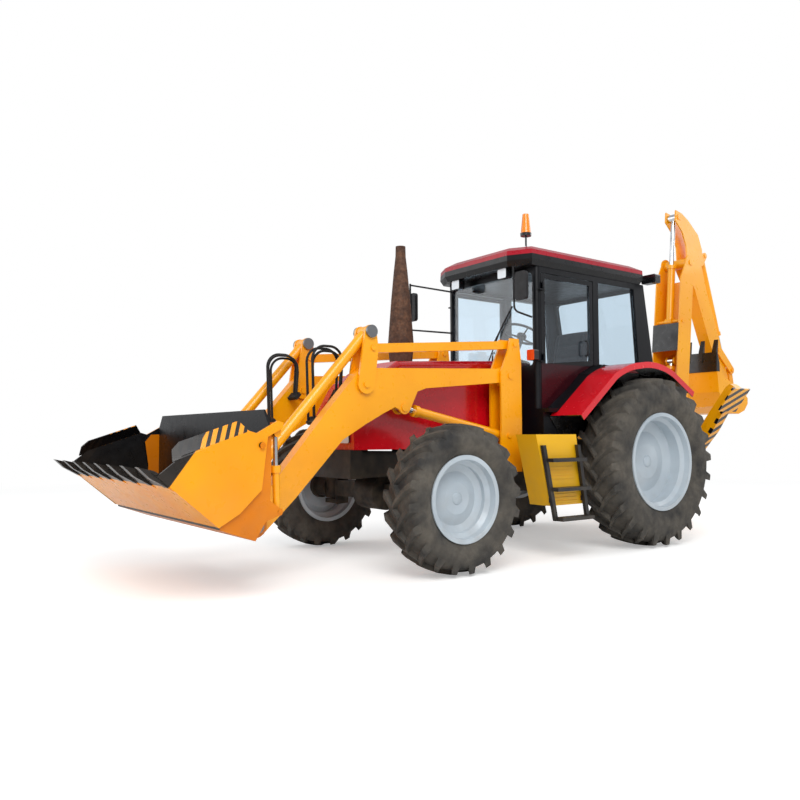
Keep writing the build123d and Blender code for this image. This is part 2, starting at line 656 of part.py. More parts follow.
with BuildPart() as cab_interior:
    # seat on its box
    with BuildSketch(Plane.XY.offset(CAB_FLOOR + 30 + SEAT_GAP)):
        with Locations((REAR_AXLE_X + 230, 0)):
            Rectangle(300, 300)
    extrude(amount=400)
    with BuildSketch(Plane.XY.offset(CAB_FLOOR + 430)):
        with Locations((REAR_AXLE_X + 230, 0)):
            RectangleRounded(460, 500, 60)
    extrude(amount=120)
    with BuildSketch(side_plane(0)):
        with BuildLine():
            Polyline((REAR_AXLE_X + 90, CAB_FLOOR + 500), (REAR_AXLE_X - 40, CAB_FLOOR + 1120),
                     (REAR_AXLE_X - 140, CAB_FLOOR + 1120), (REAR_AXLE_X - 20, CAB_FLOOR + 500), close=True)
        make_face()
    extrude(amount=235, both=True)
    # instrument stand, column and steering wheel
    with BuildSketch(side_plane(0)):
        with BuildLine():
            Polyline((REAR_AXLE_X + 1075, CAB_FLOOR + 30 + SEAT_GAP), (REAR_AXLE_X + 1075, 1640),
                     (REAR_AXLE_X + 990, 1780), (REAR_AXLE_X + 820, 1750),
                     (REAR_AXLE_X + 880, CAB_FLOOR + 30 + SEAT_GAP), close=True)
        make_face()
    extrude(amount=250, both=True)
    wheel_plane = Plane(origin=(REAR_AXLE_X + 690, 0, 2060), x_dir=(0, 1, 0), z_dir=(-0.45, 0, 0.9))
    with BuildSketch(wheel_plane.offset(-380)):
        Circle(22)
    extrude(amount=380)
    with BuildSketch(wheel_plane.offset(-12)):
        Circle(205)
        Circle(178, mode=Mode.SUBTRACT)
        for turn in (90, 210, 330):
            with Locations((95 * cos(radians(turn)), 95 * sin(radians(turn)))):
                Rectangle(190, 26, rotation=turn)
    extrude(amount=24)
finish(cab_interior, "cab_interior")

# ------------------------------------------------------------------ fenders and steps
FENDER_IN, FENDER_OUT = TUB_HALF_W + SEAT_GAP, 1060.0
FENDER_SKIN, FLANGE_H, INNER_DROP = 10.0, 57.0, 330.0
FENDER_EDGE = (
    # lower edge of the outer flange, from the front foot over the crest to the tail
    (REAR_AXLE_X + 1033, 1173.0), (REAR_AXLE_X + 568, 1547.0), (REAR_AXLE_X + 397, 1623.0),
    (REAR_AXLE_X + 222, 1659.0), (REAR_AXLE_X - 35, 1667.0), (REAR_AXLE_X - 301, 1591.0),
    (REAR_AXLE_X - 608, 1418.0),
)


def raised(points, d):
    """The points moved outward by d, each along the mean normal of its neighbours."""
    out = []
    for k, (x, z) in enumerate(points):
        a, b = points[max(k - 1, 0)], points[min(k + 1, len(points) - 1)]
        length = hypot(b[0] - a[0], b[1] - a[1])
        out.append((x + (b[1] - a[1]) * d / length, z - (b[0] - a[0]) * d / length))
    return out


def fender_band(low, high, y0, y1):
    """A strip of the fender between two offsets of its edge, from y0 to y1."""
    under, over = raised(FENDER_EDGE, low), raised(FENDER_EDGE, high)[::-1]
    with BuildPart() as b:
        with BuildSketch(side_plane(y0)):
            with BuildLine():
                for p in (under, over):
                    Line(p[0], p[1])
                    ThreePointArc(p[1], p[2], p[3])
                    ThreePointArc(p[3], p[4], p[5])
                    Line(p[5], p[6])
                Line(under[-1], over[0])
                Line(over[-1], under[0])
            make_face()
        extrude(amount=y0 - y1)
    return b.part


with BuildPart() as fenders:
    for s in (1, -1):
        add(fender_band(FLANGE_H - FENDER_SKIN, FLANGE_H, s * FENDER_IN, s * FENDER_OUT))
        add(fender_band(0, FLANGE_H, s * (FENDER_OUT - 10), s * FENDER_OUT))
        # inner arch hanging between the wheel and the cab tub
        add(fender_band(-INNER_DROP, FLANGE_H, s * FENDER_IN, s * (FENDER_IN + 8)))
    # notched round the door sills
    with BuildSketch(side_plane(0)):
        with BuildLine():
            Polyline(*[(x, z - SILL_H - SEAT_GAP) for x, z in SILL],
                     (DOOR_REAR - SEAT_GAP, DOOR_LOW[-1][1] - SILL_H - SEAT_GAP),
                     (DOOR_REAR - SEAT_GAP, 1800), (CAB_FRONT, 1800), close=True)
        make_face()
    extrude(amount=SILL_HALF_W + SEAT_GAP, both=True, mode=Mode.SUBTRACT)
finish(fenders, "fenders")

STEP_Y0, BOX_Y1, LADDER_Y0, LADDER_Y1 = 760.0, 990.0, 1000.0, 1100.0
LADDER = (
    # top x, foot x, width along x
    (REAR_AXLE_X + 1520, REAR_AXLE_X + 1380, 38.0), (REAR_AXLE_X + 1090, REAR_AXLE_X + 980, 38.0),
)
LADDER_TOP, LADDER_FOOT = 960.0, 325.0
with BuildPart() as side_steps:
    for s in (1, -1):
        # locker behind the ladder
        with BuildSketch(side_plane(s * STEP_Y0)):
            with BuildLine():
                Polyline((REAR_AXLE_X + 1560, 1050), (REAR_AXLE_X + 1060, 1050), (REAR_AXLE_X + 975, 450),
                         (REAR_AXLE_X + 1400, 450), close=True)
            make_face()
        extrude(amount=-s * (BOX_Y1 - STEP_Y0))
        # pressed ribs in its outer face
        with BuildSketch(side_plane(s * (BOX_Y1 - 2))):
            for z in (680, 710, 740, 770, 480, 510, 540):
                lean = (z - 450) * 0.21
                with Locations((REAR_AXLE_X + 1200 + lean, z)):
                    Rectangle(300, 13)
        extrude(amount=-s * 9)
        # two leaning posts with three treads, tied back to the locker
        for top_x, foot_x, width in LADDER:
            with BuildSketch(side_plane(s * LADDER_Y0)):
                with BuildLine():
                    Polyline((top_x, LADDER_TOP), (top_x - width, LADDER_TOP), (foot_x - width, LADDER_FOOT),
                             (foot_x, LADDER_FOOT), close=True)
                make_face()
            extrude(amount=-s * 30)
            with BuildSketch(side_plane(s * (BOX_Y1 - 4))):
                with Locations((top_x - 60, 900), (foot_x + 30, 500)):
                    Rectangle(30, 40)
            extrude(amount=-s * 20)
        for z in (835, 590, 340):
            lean = (z - LADDER_FOOT) / (LADDER_TOP - LADDER_FOOT)
            front = LADDER[0][1] + (LADDER[0][0] - LADDER[0][1]) * lean
            rear = LADDER[1][1] + (LADDER[1][0] - LADDER[1][1]) * lean
            with BuildSketch(side_plane(s * LADDER_Y0)):
                with Locations(((front + rear - 38) / 2, z)):
                    Rectangle(front - rear, 30)
            extrude(amount=-s * (LADDER_Y1 - LADDER_Y0))
        # bracket to the frame rail
        with BuildSketch(side_plane(s * (RAIL_Y + RAIL_W / 2 + SEAT_GAP))):
            with Locations((REAR_AXLE_X + 1120, 845)):
                Rectangle(120, 70)
        extrude(amount=-s * (STEP_Y0 - RAIL_Y - RAIL_W / 2 - SEAT_GAP + 2))
finish(side_steps, "side_steps")

STACK_X = FRONT_AXLE_X - 234
STACK = (
    # height, radius
    (1688.6, 100.0), (1850.0, 115.0), (2250.0, 85.0), (2500.0, 62.0), (2640.0, 46.0), (2730.0, 44.0),
)
with BuildPart() as exhaust:
    with BuildSketch(side_plane(0)):
        with BuildLine():
            Polyline((STACK_X, STACK[0][0]), *[(STACK_X + r, z) for z, r in STACK], (STACK_X + 36, 2730),
                     (STACK_X + 36, 2560), (STACK_X, 2560), close=True)
        make_face()
    revolve(axis=Axis((STACK_X, 0, 0), (0, 0, 1)))
finish(exhaust, "exhaust")


def tube(points, radius, bend):
    """A round tube along a path with rounded bends."""
    with BuildPart() as b:
        with BuildLine() as path:
            FilletPolyline(*points, radius=bend)
        line = path.wires()[0]
        with BuildSketch(Plane(origin=line.position_at(0), z_dir=line.tangent_at(0))):
            Circle(radius)
        sweep()
    return b.part


MIRROR_X, MIRROR_Y = REAR_AXLE_X + 1300, 1060.0
with BuildPart() as mirrors:
    # far side: two stays and an upright carry the glass
    for z, rise in ((2530.0, 130.0), (2100.0, 75.0)):
        a = Vector(CAB_FRONT + 9, -575, z)
        b = Vector(MIRROR_X, -MIRROR_Y, z + rise)
        with BuildSketch(Plane(origin=a, z_dir=(b - a).normalized())):
            Circle(9)
        extrude(amount=(b - a).length)
    with BuildSketch(Plane.XY.offset(2160)):
        with Locations((MIRROR_X, -MIRROR_Y)):
            Circle(10)
    extrude(amount=515)
    with BuildSketch(Plane.YZ.offset(MIRROR_X - 45)):
        with Locations((-MIRROR_Y, 2420)):
            RectangleRounded(150, 300, 30)
    extrude(amount=40)
    # near side: a bent stay from the roof edge down to the front pillar
    add(tube(((MIRROR_X - 20, 470, ROOF_Z - 1), (MIRROR_X - 20, 480, 2180), (CAB_FRONT + 16, 575, 2120)), 9, 60))
    with BuildSketch(Plane.YZ.offset(MIRROR_X - 50)):
        with Locations((560, 2400)):
            RectangleRounded(140, 260, 30)
    extrude(amount=34)
    with BuildSketch(side_plane(478)):
        with Locations((MIRROR_X - 28, 2420)):
            Rectangle(24, 24)
    extrude(amount=-30)
finish(mirrors, "mirrors")

BEACON = (REAR_AXLE_X + 1140, 500.0)
BEACON_PARTS = (
    # low, low radius, high, high radius
    (ROOF_TOP + SEAT_GAP, 9.0, 2890.0, 9.0), (2884.0, 50.0, 2912.0, 52.0), (2912.0, 47.0, 3090.0, 29.0),
)
with BuildPart() as lamps:
    for s in (1, -1):
        # working lamps at the rear roof corners, on brackets
        with BuildSketch(Plane.YZ.offset(REAR_AXLE_X - 585)):
            with Locations((s * 650, 2655)):
                RectangleRounded(170, 90, 14)
        extrude(amount=85)
        with BuildSketch(Plane.XY.offset(2640)):
            with Locations((ROOF_REAR - SEAT_GAP - 27, s * 560)):
                Rectangle(54, 56)
        extrude(amount=24)
        with BuildSketch(Plane.XY.offset(2640)):
            with Locations((REAR_AXLE_X - 520, s * 560)):
                Rectangle(60, 36)
        extrude(amount=24)
        # working lamps under the front edge of the roof
        with BuildSketch(Plane.YZ.offset(REAR_AXLE_X + 1215)):
            with Locations((s * 330, CAB_TOP - 44)):
                RectangleRounded(110, 88, 14)
        extrude(amount=75)
        # indicators on the front pillars
        with BuildSketch(Plane.YZ.offset(CAB_FRONT + SEAT_GAP)):
            with Locations((s * 588, 1765)):
                Rectangle(46, 30)
        extrude(amount=40)
        with BuildSketch(Plane.YZ.offset(CAB_FRONT + 35)):
            with Locations((s * 625, 1765)):
                RectangleRounded(90, 95, 12)
        extrude(amount=60)
        # headlights on the nose
        with BuildSketch(NOSE_PLANE.offset(SEAT_GAP)):
            with Locations((s * 200, 0)):
                RectangleRounded(150, 100, 16)
        extrude(amount=14)
    for low, r0, high, r1 in BEACON_PARTS:
        for h, r in ((low, r0), (high, r1)):
            with BuildSketch(Plane.XY.offset(h)):
                with Locations(BEACON):
                    Circle(r)
        loft()
finish(lamps, "lamps")

# ------------------------------------------------------------------ loader
PIN_BIG, PIN_MID, PIN_SMALL = 28.0, 22.0, 12.0
LEVEL_REAR = shifted(ARM_PIVOT, LEVEL_OFFSET)
LEVEL_FRONT = shifted(ROCKER_PIVOT, LEVEL_OFFSET)
TILT_BASE = shifted(ROCKER_PIVOT, ROCKER_TOP)
FORK_MID = ARM_W / 2 + SIDE_GAP + FORK_W / 2
FORK_OUT = FORK_MID + FORK_W / 2
FORK_YS = [s * (ARM_Y + side * FORK_MID) for s in (1, -1) for side in (1, -1)]
PIN_LENGTH = 2 * FORK_OUT + 24
X0 = REAR_AXLE_X

with BuildPart() as loader_towers:
    outline = ((X0 + 1290, 720), (X0 + 1290, 1700), (X0 + 1318, 1907), (X0 + 1422, 1907),
               (X0 + 1446, 1800), (X0 + 1540, 1600), (X0 + 1540, 1100), (X0 + 1560, 720))
    add(plates(outline, (), (), FORK_YS, FORK_W))
    for s in (1, -1):
        with BuildSketch(side_plane(s * (ARM_Y - FORK_OUT))):
            with Locations((X0 + 1300, 1250)):
                Rectangle(20, 900)
            with Locations((X0 + 1425, 735)):
                Rectangle(250, 30)
        extrude(amount=-s * 2 * FORK_OUT)
        # cross box to the frame rail
        with BuildSketch(side_plane(s * (RAIL_Y + RAIL_W / 2 + SEAT_GAP))):
            with Locations((X0 + 1430, 810)):
                Rectangle(200, 130)
        extrude(amount=-s * (ARM_Y - FORK_OUT + 4 - RAIL_Y - RAIL_W / 2 - SEAT_GAP))
        for centre, radius in ((ARM_PIVOT, PIN_BIG), (LEVEL_REAR, PIN_MID), (LIFT_BASE, PIN_MID)):
            add(disc(s * ARM_Y, centre, radius, PIN_LENGTH))
finish(loader_towers, "loader_towers")

ARM_EDGE = ((X0 + 1430, 1655), (X0 + 1500, 1632), (X0 + 2840, 1572), (X0 + 2960, 1578), (X0 + 3045, 1512),
            (X0 + 3300, 1228), (X0 + 3943, 478), (X0 + 3817, 362), (X0 + 3560, 600), (X0 + 3165, 1012),
            (X0 + 2960, 1130), (X0 + 2780, 1222), (X0 + 2600, 1305), (X0 + 2480, 1390), (X0 + 2360, 1430),
            (X0 + 1500, 1510), (X0 + 1430, 1485))
with BuildPart() as loader_arms:
    for s in (1, -1):
        add(plates(ARM_EDGE, ((ARM_PIVOT, 88), (BUCKET_HINGE, 85)), (), (s * ARM_Y,), ARM_W))
        add(plates(((X0 + 2440, 1420), (X0 + 2526, 1250), (X0 + 2634, 1250), (X0 + 2740, 1300)),
                   ((LIFT_EYE, 55),), (), (s * ARM_Y,), ARM_W))
        with BuildSketch(side_plane(s * ARM_Y)):
            with Locations(LIFT_EYE):
                Circle(95)
            with Locations(shifted(LIFT_EYE, (-60, -40))):
                Rectangle(190, 160)
        extrude(amount=ARM_W / 2 - 20, both=True, mode=Mode.SUBTRACT)
        for side in (1, -1):
            add(disc(s * (ARM_Y + side * (ARM_W / 2 + 5)), LIFT_EYE, 34, 10))
        with BuildSketch(side_plane(s * ARM_Y)):
            with Locations(ARM_PIVOT, ROCKER_PIVOT, BUCKET_HINGE):
                Circle(PIN_BIG + PIN_FIT)
        extrude(amount=ARM_W, both=True, mode=Mode.SUBTRACT)
    add(disc(0, (X0 + 3670, 655), 40, 2 * ARM_Y - ARM_W + 2))
finish(loader_arms, "loader_arms")

HOSES = (
    # y, rear foot, height of the arch, front foot
    (375.0, (X0 + 3080, 1392), 1735.0, (X0 + 3318, 1175)),
    (348.0, (X0 + 3072, 1402), 1700.0, (X0 + 3300, 1195)),
    (321.0, (X0 + 3090, 1380), 1720.0, (X0 + 3336, 1155)),
)
with BuildPart() as arm_hoses:
    for s in (1, -1):
        for y, rear, crest, front in HOSES:
            arch = [(rear[0], rear[1]), (rear[0] - 20, crest), (front[0] + 20, crest), (front[0], front[1])]
            add(tube([(x, s * y, z) for x, z in arch], 10, 110))
        for x, z in ((X0 + 3080, 1384), (X0 + 3318, 1160)):
            with BuildSketch(side_plane(s * 300)):
                with Locations((x, z)):
                    Rectangle(62, 30, rotation=-48)
            extrude(amount=-s * (ARM_Y - ARM_W / 2 - SEAT_GAP - 300))
finish(arm_hoses, "arm_hoses")

with BuildPart() as levelling_rods:
    for s in (1, -1):
        add(link(side_plane(s * ARM_Y), LEVEL_REAR, LEVEL_FRONT, 36, 36, 60))
        with BuildSketch(side_plane(s * ARM_Y)):
            with Locations(LEVEL_REAR, LEVEL_FRONT):
                Circle(PIN_MID + PIN_FIT)
        extrude(amount=40, both=True, mode=Mode.SUBTRACT)
finish(levelling_rods, "levelling_rods")

with BuildPart() as rockers:
    add(hull_plates(((ROCKER_PIVOT, 75), (LEVEL_FRONT, 52), (TILT_BASE, 52)),
                    ((TILT_BASE, PIN_MID + PIN_FIT),), FORK_YS, FORK_W))
    for s in (1, -1):
        add(disc(s * ARM_Y, ROCKER_PIVOT, PIN_BIG, PIN_LENGTH))
        add(disc(s * ARM_Y, LEVEL_FRONT, PIN_MID, PIN_LENGTH))
finish(rockers, "rockers")

for label, centre, radius, cap, cap_t in (("rocker_pins", TILT_BASE, PIN_MID, 50, 20),
                                          ("bucket_pins", BUCKET_HINGE, PIN_BIG, 50, 12)):
    with BuildPart() as pins:
        for s in (1, -1):
            add(disc(s * ARM_Y, centre, radius, PIN_LENGTH))
            for side in (1, -1):
                add(disc(s * (ARM_Y + side * (FORK_OUT + 1 + cap_t / 2)), centre, cap, cap_t))
        if label == "bucket_pins":
            # torque tube that joins the two bucket pins
            add(disc(0, centre, 80, 2 * (ARM_Y - FORK_OUT - 5)))
    finish(pins, label)

RAMS = (
    # name, base pin, rod eye, y, retract, extend, bore, wall, eye radius, base eye width, rod eye width, pin
    ("tilt", TILT_BASE, TILT_EYE, ARM_Y, 0.0, 580.0, 26.0, 16.0, 46.0, ARM_W, ARM_W, PIN_MID),
    ("lift", LIFT_BASE, LIFT_EYE, ARM_Y, 50.0, 460.0, 25.0, 15.0, 44.0, ARM_W, 46.0, PIN_MID),
    ("jaw", JAW_RAM_BASE, JAW_LEVER, JAW_RAM_Y, 150.0, 0.0, 15.0, 8.0, 26.0, 40.0, 40.0, PIN_SMALL),
)
for name, p, q, y, retract, extend, bore, wall, eye_r, base_w, rod_w, pin_r in RAMS:
    with BuildPart() as barrels:
        one = ram_barrel(side_plane(y), p, q, retract, extend, bore, wall, eye_r, base_w, pin_r)
        add(one)
        add(mirrored(one))
    finish(barrels, name + "_barrels")
    with BuildPart() as rods:
        one = ram_rod(side_plane(y), p, q, retract, extend, bore, eye_r, rod_w)
        add(one)
        add(mirrored(one))
    finish(rods, name + "_rods")

# ------------------------------------------------------------------ clam bucket
MOULD_HALF_W = BUCKET_HALF_W - PLATE - 8
WALL_TOP = 1215.0
with BuildPart() as bucket_back:
    outline = (
        (X0 + 4006, WALL_TOP), (X0 + 4006, 748), (X0 + 4018, 545), (X0 + 4112, 388), (X0 + 4350, 474),
        (X0 + 4350, 494), (X0 + 4120, 404), (X0 + 4034, 553), (X0 + 4022, 752), (X0 + 4022, WALL_TOP),
    )
    add(plates(outline, (), (), (0,), 2 * MOULD_HALF_W))
    # sloped ends of the spill guard
    with BuildSketch(rear_plane(X0 + 3990)):
        for s in (1, -1):
            with BuildLine():
                Polyline((s * (MOULD_HALF_W + 10), WALL_TOP + 10), (s * (MOULD_HALF_W - 95), WALL_TOP + 10),
                         (s * (MOULD_HALF_W + 10), 1085), close=True)
            make_face()
    extrude(amount=60, mode=Mode.SUBTRACT)
    wing = (
        (X0 + 4014, 1060), (X0 + 4090, 1060), (X0 + 4140, 1000), (X0 + 4110, 800), (X0 + 4120, 690),
        (X0 + 4240, 580), (X0 + 4345, 488), (X0 + 4116, 396), (X0 + 4026, 549), (X0 + 4014, 750),
    )
    add(plates(wing, (), (), [s * (MOULD_HALF_W - 8) for s in (1, -1)], 16))
    ear = (
        (X0 + 3790, 850), (X0 + 3850, 888), (X0 + 4010, 970), (X0 + 4010, 748), (X0 + 4022, 545),
        (X0 + 4112, 396), (X0 + 3900, 346), (X0 + 3806, 420),
    )
    add(plates(ear, ((BUCKET_HINGE, 75), (TILT_EYE, 58)), ((BUCKET_HINGE, PIN_BIG + PIN_FIT),), FORK_YS, FORK_W))
    for y in FORK_YS:
        outward = 1 if abs(y) > ARM_Y else -1
        spot = (abs(y) + outward * (FORK_W / 2 + 5)) * (1 if y > 0 else -1)
        add(disc(spot, TILT_EYE, 34, 10))
    bracket = ((X0 + 4018, 640), (X0 + 3945, 586), (X0 + 3925, 545), (X0 + 4052, 500))
    add(plates(bracket, ((JAW_RAM_BASE, 24),), (),
               [s * (JAW_RAM_Y + d) for s in (1, -1) for d in (-33, 33)], 12))
    for s in (1, -1):
        add(disc(s * JAW_RAM_Y, JAW_RAM_BASE, PIN_SMALL, 86))
        add(disc(s * (MOULD_HALF_W + 14), JAW_PIVOT, 20, 60))
finish(bucket_back, "bucket_back")

TOOTH_COUNT = 8
FLANGE_FRONT, FLANGE_REAR = (X0 + 4593, 931.0), (X0 + 4167, 1075.0)
FLANGE_UP, FLANGE_LEAN = 92.0, radians(30)
with BuildPart() as bucket_jaw:
    side = (
        (X0 + 4365, 490), LIP, (X0 + 4593, 931), (X0 + 4167, 1075), (X0 + 4043, 1038), (X0 + 4082, 707),
        (X0 + 4229, 567),
    )
    add(plates(side, (), ((JAW_PIVOT, 20 + PIN_FIT),), [s * (BUCKET_HALF_W - 8) for s in (1, -1)], PLATE))
    floor = (HEEL, (X0 + 4735, 804), LIP, (X0 + 4738, 822), (X0 + 4356, 504))
    add(plates(floor, (), (), (0,), 2 * BUCKET_HALF_W - 2))
    edge = ((X0 + 4640, 722), (X0 + 4775, 836), (X0 + 4650, 745))
    add(plates(edge, (), (), (0,), 2 * BUCKET_HALF_W - 2))
    # folded top flange along both side plates, leaning inward
    run = (FLANGE_REAR[0] - FLANGE_FRONT[0], FLANGE_REAR[1] - FLANGE_FRONT[1])
    length = hypot(*run)
    for s in (1, -1):
        rise = Vector(-run[1] / length * -cos(FLANGE_LEAN), -s * sin(FLANGE_LEAN), run[0] / length * -cos(FLANGE_LEAN))
        back = Vector(run[0] / length, 0, run[1] / length)
        corner = Vector(FLANGE_FRONT[0], s * (BUCKET_HALF_W - 7), FLANGE_FRONT[1] - 4)
        with BuildSketch(Plane(origin=corner, x_dir=back, z_dir=back.cross(rise))):
            with BuildLine():
                Polyline((-70, -14), (length, 0), (length - 30, FLANGE_UP), (20, FLANGE_UP), (-40, 60), close=True)
            make_face()
        extrude(amount=5, both=True)
        # lever behind the wall for the jaw ram
        lever = ((X0 + 4043, 1038), (X0 + 4120, 1060), (X0 + 3975, 1140), (X0 + 3935, 1130), (X0 + 3935, 1095))
        with BuildSketch(side_plane(s * (BUCKET_HALF_W - PLATE))):
            with BuildLine():
                Polyline(*lever, close=True)
            make_face()
        extrude(amount=-s * PLATE)
        with BuildSketch(side_plane(s * (JAW_RAM_Y - 39))):
            with Locations((X0 + 3958, 1116)):
                Rectangle(46, 28)
        extrude(amount=-s * (BUCKET_HALF_W - PLATE + 4 - JAW_RAM_Y + 39))
        add(hull_plates((((X0 + 3958, 1112), 20), (JAW_LEVER, 24)), (),
                        [s * (JAW_RAM_Y + d) for d in (-33, 33)], 12))
    tooth = ((X0 + 4640, 722), (X0 + 4780, 802), (X0 + 4850, 868), (X0 + 4760, 846), (X0 + 4735, 832),
             (X0 + 4700, 812))
    pitch = 2 * (BUCKET_HALF_W - 45) / (TOOTH_COUNT - 1)
    add(plates(tooth, (), (), [-(BUCKET_HALF_W - 45) + pitch * k for k in range(TOOTH_COUNT)], 64))
finish(bucket_jaw, "bucket_jaw")

# ------------------------------------------------------------------ backhoe
FRAME_PLATE = 20.0
LEG_PLATE_XS = [LEG_X + d * (LEG_W / 2 + SIDE_GAP + FRAME_PLATE / 2) for d in (1, -1)]
FRAME_REAR = min(LEG_PLATE_XS) - FRAME_PLATE / 2
POST_PIN_R = 38.0
with BuildPart() as backhoe_frame:
    outline = (
        (-720, 740), (-720, 880), (-300, 1215), (300, 1215), (720, 880), (720, 740), (560, 560), (-560, 560),
    )
    add(plates(outline, (), (), LEG_PLATE_XS, FRAME_PLATE, rear_plane))
    for s in (1, -1):
        for centre, radius in ((LEG_PIVOT, PIN_BIG), (LEG_RAM_BASE, PIN_MID)):
            with BuildSketch(rear_plane(LEG_X)):
                with Locations((s * centre[0], centre[1])):
                    Circle(radius)
            extrude(amount=LEG_W / 2 + SIDE_GAP + FRAME_PLATE + 10, both=True)
        # side beam forward to the gearbox housing
        with BuildSketch(side_plane(s * (210 + SEAT_GAP))):
            with Locations((X0 - 250, 625)):
                Rectangle(1700, 120)
        extrude(amount=-s * 60)
    # floor plate tying the cross plates
    with BuildSketch(Plane.XY.offset(560)):
        with Locations((LEG_X, 0)):
            Rectangle(2 * (LEG_W / 2 + SIDE_GAP) + 4, 1000)
    extrude(amount=20)
    # swing bearing plates and kingpost pin
    for low in (SWING_LOW - 40, SWING_TOP):
        with BuildSketch(Plane.XY.offset(low)):
            with Locations(((FRAME_REAR + SWING_X) / 2, 0)):
                Rectangle(FRAME_REAR - SWING_X + 2, 180)
            with Locations((SWING_X, 0)):
                Circle(90)
        extrude(amount=40)
    with BuildSketch(side_plane(-85)):
        with Locations((FRAME_REAR - 20, (SWING_LOW + SWING_TOP) / 2)):
            Rectangle(60, SWING_TOP - SWING_LOW + 80)
    extrude(amount=-170)
    with BuildSketch(Plane.XY.offset(SWING_LOW - 50)):
        with Locations((SWING_X, 0)):
            Circle(POST_PIN_R)
    extrude(amount=SWING_TOP - SWING_LOW + 100)
finish(backhoe_frame, "backhoe_frame")

CHEEK_MID = BOOM_W / 2 + SIDE_GAP + 10
with BuildPart() as swing_post:
    with BuildSketch(Plane.XY.offset(SWING_LOW + 1)):
        with Locations((SWING_X, 0)):
            Circle(88)
    extrude(amount=SWING_TOP - SWING_LOW - 2)
    with BuildSketch(Plane.XY.offset(SWING_LOW + 20)):
        with Locations((SWING_X - 55, 0)):
            Rectangle(40, 2 * CHEEK_MID)
    extrude(amount=SWING_TOP - SWING_LOW - 40)
    with BuildSketch(Plane.XY.offset(SWING_LOW)):
        with Locations((SWING_X, 0)):
            Circle(POST_PIN_R + PIN_FIT)
    extrude(amount=SWING_TOP - SWING_LOW, mode=Mode.SUBTRACT)
    cheek = (
        (SWING_X - 35, SWING_LOW + 22), (SWING_X - 35, SWING_TOP - 22), (SWING_X - 85, SWING_TOP - 10),
        (SWING_X - 85, SWING_TOP + 60), (SWING_X - 25, SWING_TOP + 80), (SWING_X - 40, 1150),
        (SWING_X - 100, 1150), (SWING_X - 240, 830), (SWING_X - 240, 700), (SWING_X - 180, 640),
    )
    add(plates(cheek, ((BOOM_FOOT, 78), (BOOM_RAM_BASE, 44)), (), (CHEEK_MID, -CHEEK_MID), 20))
    add(disc(0, BOOM_FOOT, 34, 2 * CHEEK_MID + 44))
    add(disc(0, BOOM_RAM_BASE, PIN_MID, 2 * CHEEK_MID + 40))
finish(swing_post, "swing_post")

with BuildPart() as boom:
    outline = (
        (X0 - 1700, 830), (X0 - 1640, 790), (X0 - 1660, 1250), (X0 - 1690, 1700), (X0 - 1720, 2040),
        (X0 - 1820, 2920), (X0 - 1925, 3120), (X0 - 2020, 3215), (X0 - 2115, 3120), (X0 - 2065, 2920),
        (X0 - 1965, 2040), (X0 - 1900, 1500), (X0 - 1790, 760),
    )
    half = BOOM_W / 2 - BOOM_PLATE / 2
    add(plates(outline, ((BOOM_FOOT, 80), (BOOM_TIP, 95)), ((BOOM_FOOT, 34 + PIN_FIT),), (half, -half), BOOM_PLATE))
    # back plate of the channel
    back = ((X0 - 1897, 1480), (X0 - 1962, 2030), (X0 - 2062, 2910), (X0 - 2048, 2912), (X0 - 1948, 2032),
            (X0 - 1883, 1482))
    add(plates(back, (), (), (0,), BOOM_W - 4))
    # foot tube round the boom pin
    with BuildSketch(side_plane(0)):
        with Locations(BOOM_FOOT):
            Circle(62)
            Circle(34 + PIN_FIT, mode=Mode.SUBTRACT)
    extrude(amount=BOOM_W / 2, both=True)
    # guard plate on the front
    guard = ((X0 - 1720, 2040), (X0 - 1757, 2370), (X0 - 1745, 2370), (X0 - 1708, 2040))
    add(plates(guard, (), (), (0,), BOOM_W))
    add(disc(0, BOOM_TIP, 34, BOOM_W + 24))
    add(disc(0, STICK_RAM_BASE, PIN_MID, BOOM_W + 20))
    add(disc(0, (X0 - 1890, 2200), 30, BOOM_W))
    # ears for the boom ram's eye
    add(hull_plates(((BOOM_RAM_EYE, 46), ((X0 - 1925, 1900), 26), ((X0 - 1938, 1990), 26)), (),
                    (50, -50), 20))
finish(boom, "boom")

STICK_HALF = STICK_W / 2
with BuildPart() as stick:
    box = (
        (X0 - 2100, 3050), (X0 - 2254, 2830), (X0 - 2534, 2230), (X0 - 2868, 1590), (X0 - 2992, 1640),
        (X0 - 2784, 2230), (X0 - 2518, 2830), (X0 - 2401, 3186), (X0 - 2104, 3200), (X0 - 2010, 3178),
    )
    add(plates(box, ((BOOM_TIP, 60), (STICK_TIP, 60)), (), (0,), STICK_W))
    horn = (
        (X0 - 1893, 3765), (X0 - 2010, 3745), (X0 - 2145, 3680), (X0 - 2354, 3526), (X0 - 2434, 3348),
        (X0 - 2430, 3250), (X0 - 2401, 3160), (X0 - 2104, 3160), (X0 - 2094, 3361), (X0 - 2020, 3520),
        (X0 - 1880, 3640),
    )
    add(plates(horn, ((HORN_TIP, 62),), (), (STICK_HALF - 8, 8 - STICK_HALF), 16))
    for y in (STICK_HALF + 5, -STICK_HALF - 5):
        add(disc(y, HORN_TIP, 34, 10))
    add(disc(0, BOOM_TIP, 60, BOOM_W - 2 * BOOM_PLATE - 2 * SIDE_GAP))
    # lug for the bucket ram
    add(hull_plates(((HOE_RAM_BASE, 40), ((X0 - 2420, 3260), 40), ((X0 - 2440, 3180), 30)), (), (56, -56), 20))
    add(disc(0, HOE_RAM_BASE, PIN_MID, 150))
    with BuildSketch(side_plane(0)):
        with Locations(BOOM_TIP):
            Circle(34 + PIN_FIT)
        with Locations(STICK_TIP, HOE_ROCKER_PIVOT):
            Circle(PIN_BIG + PIN_FIT)
    extrude(amount=BOOM_W, both=True, mode=Mode.SUBTRACT)
finish(stick, "stick")

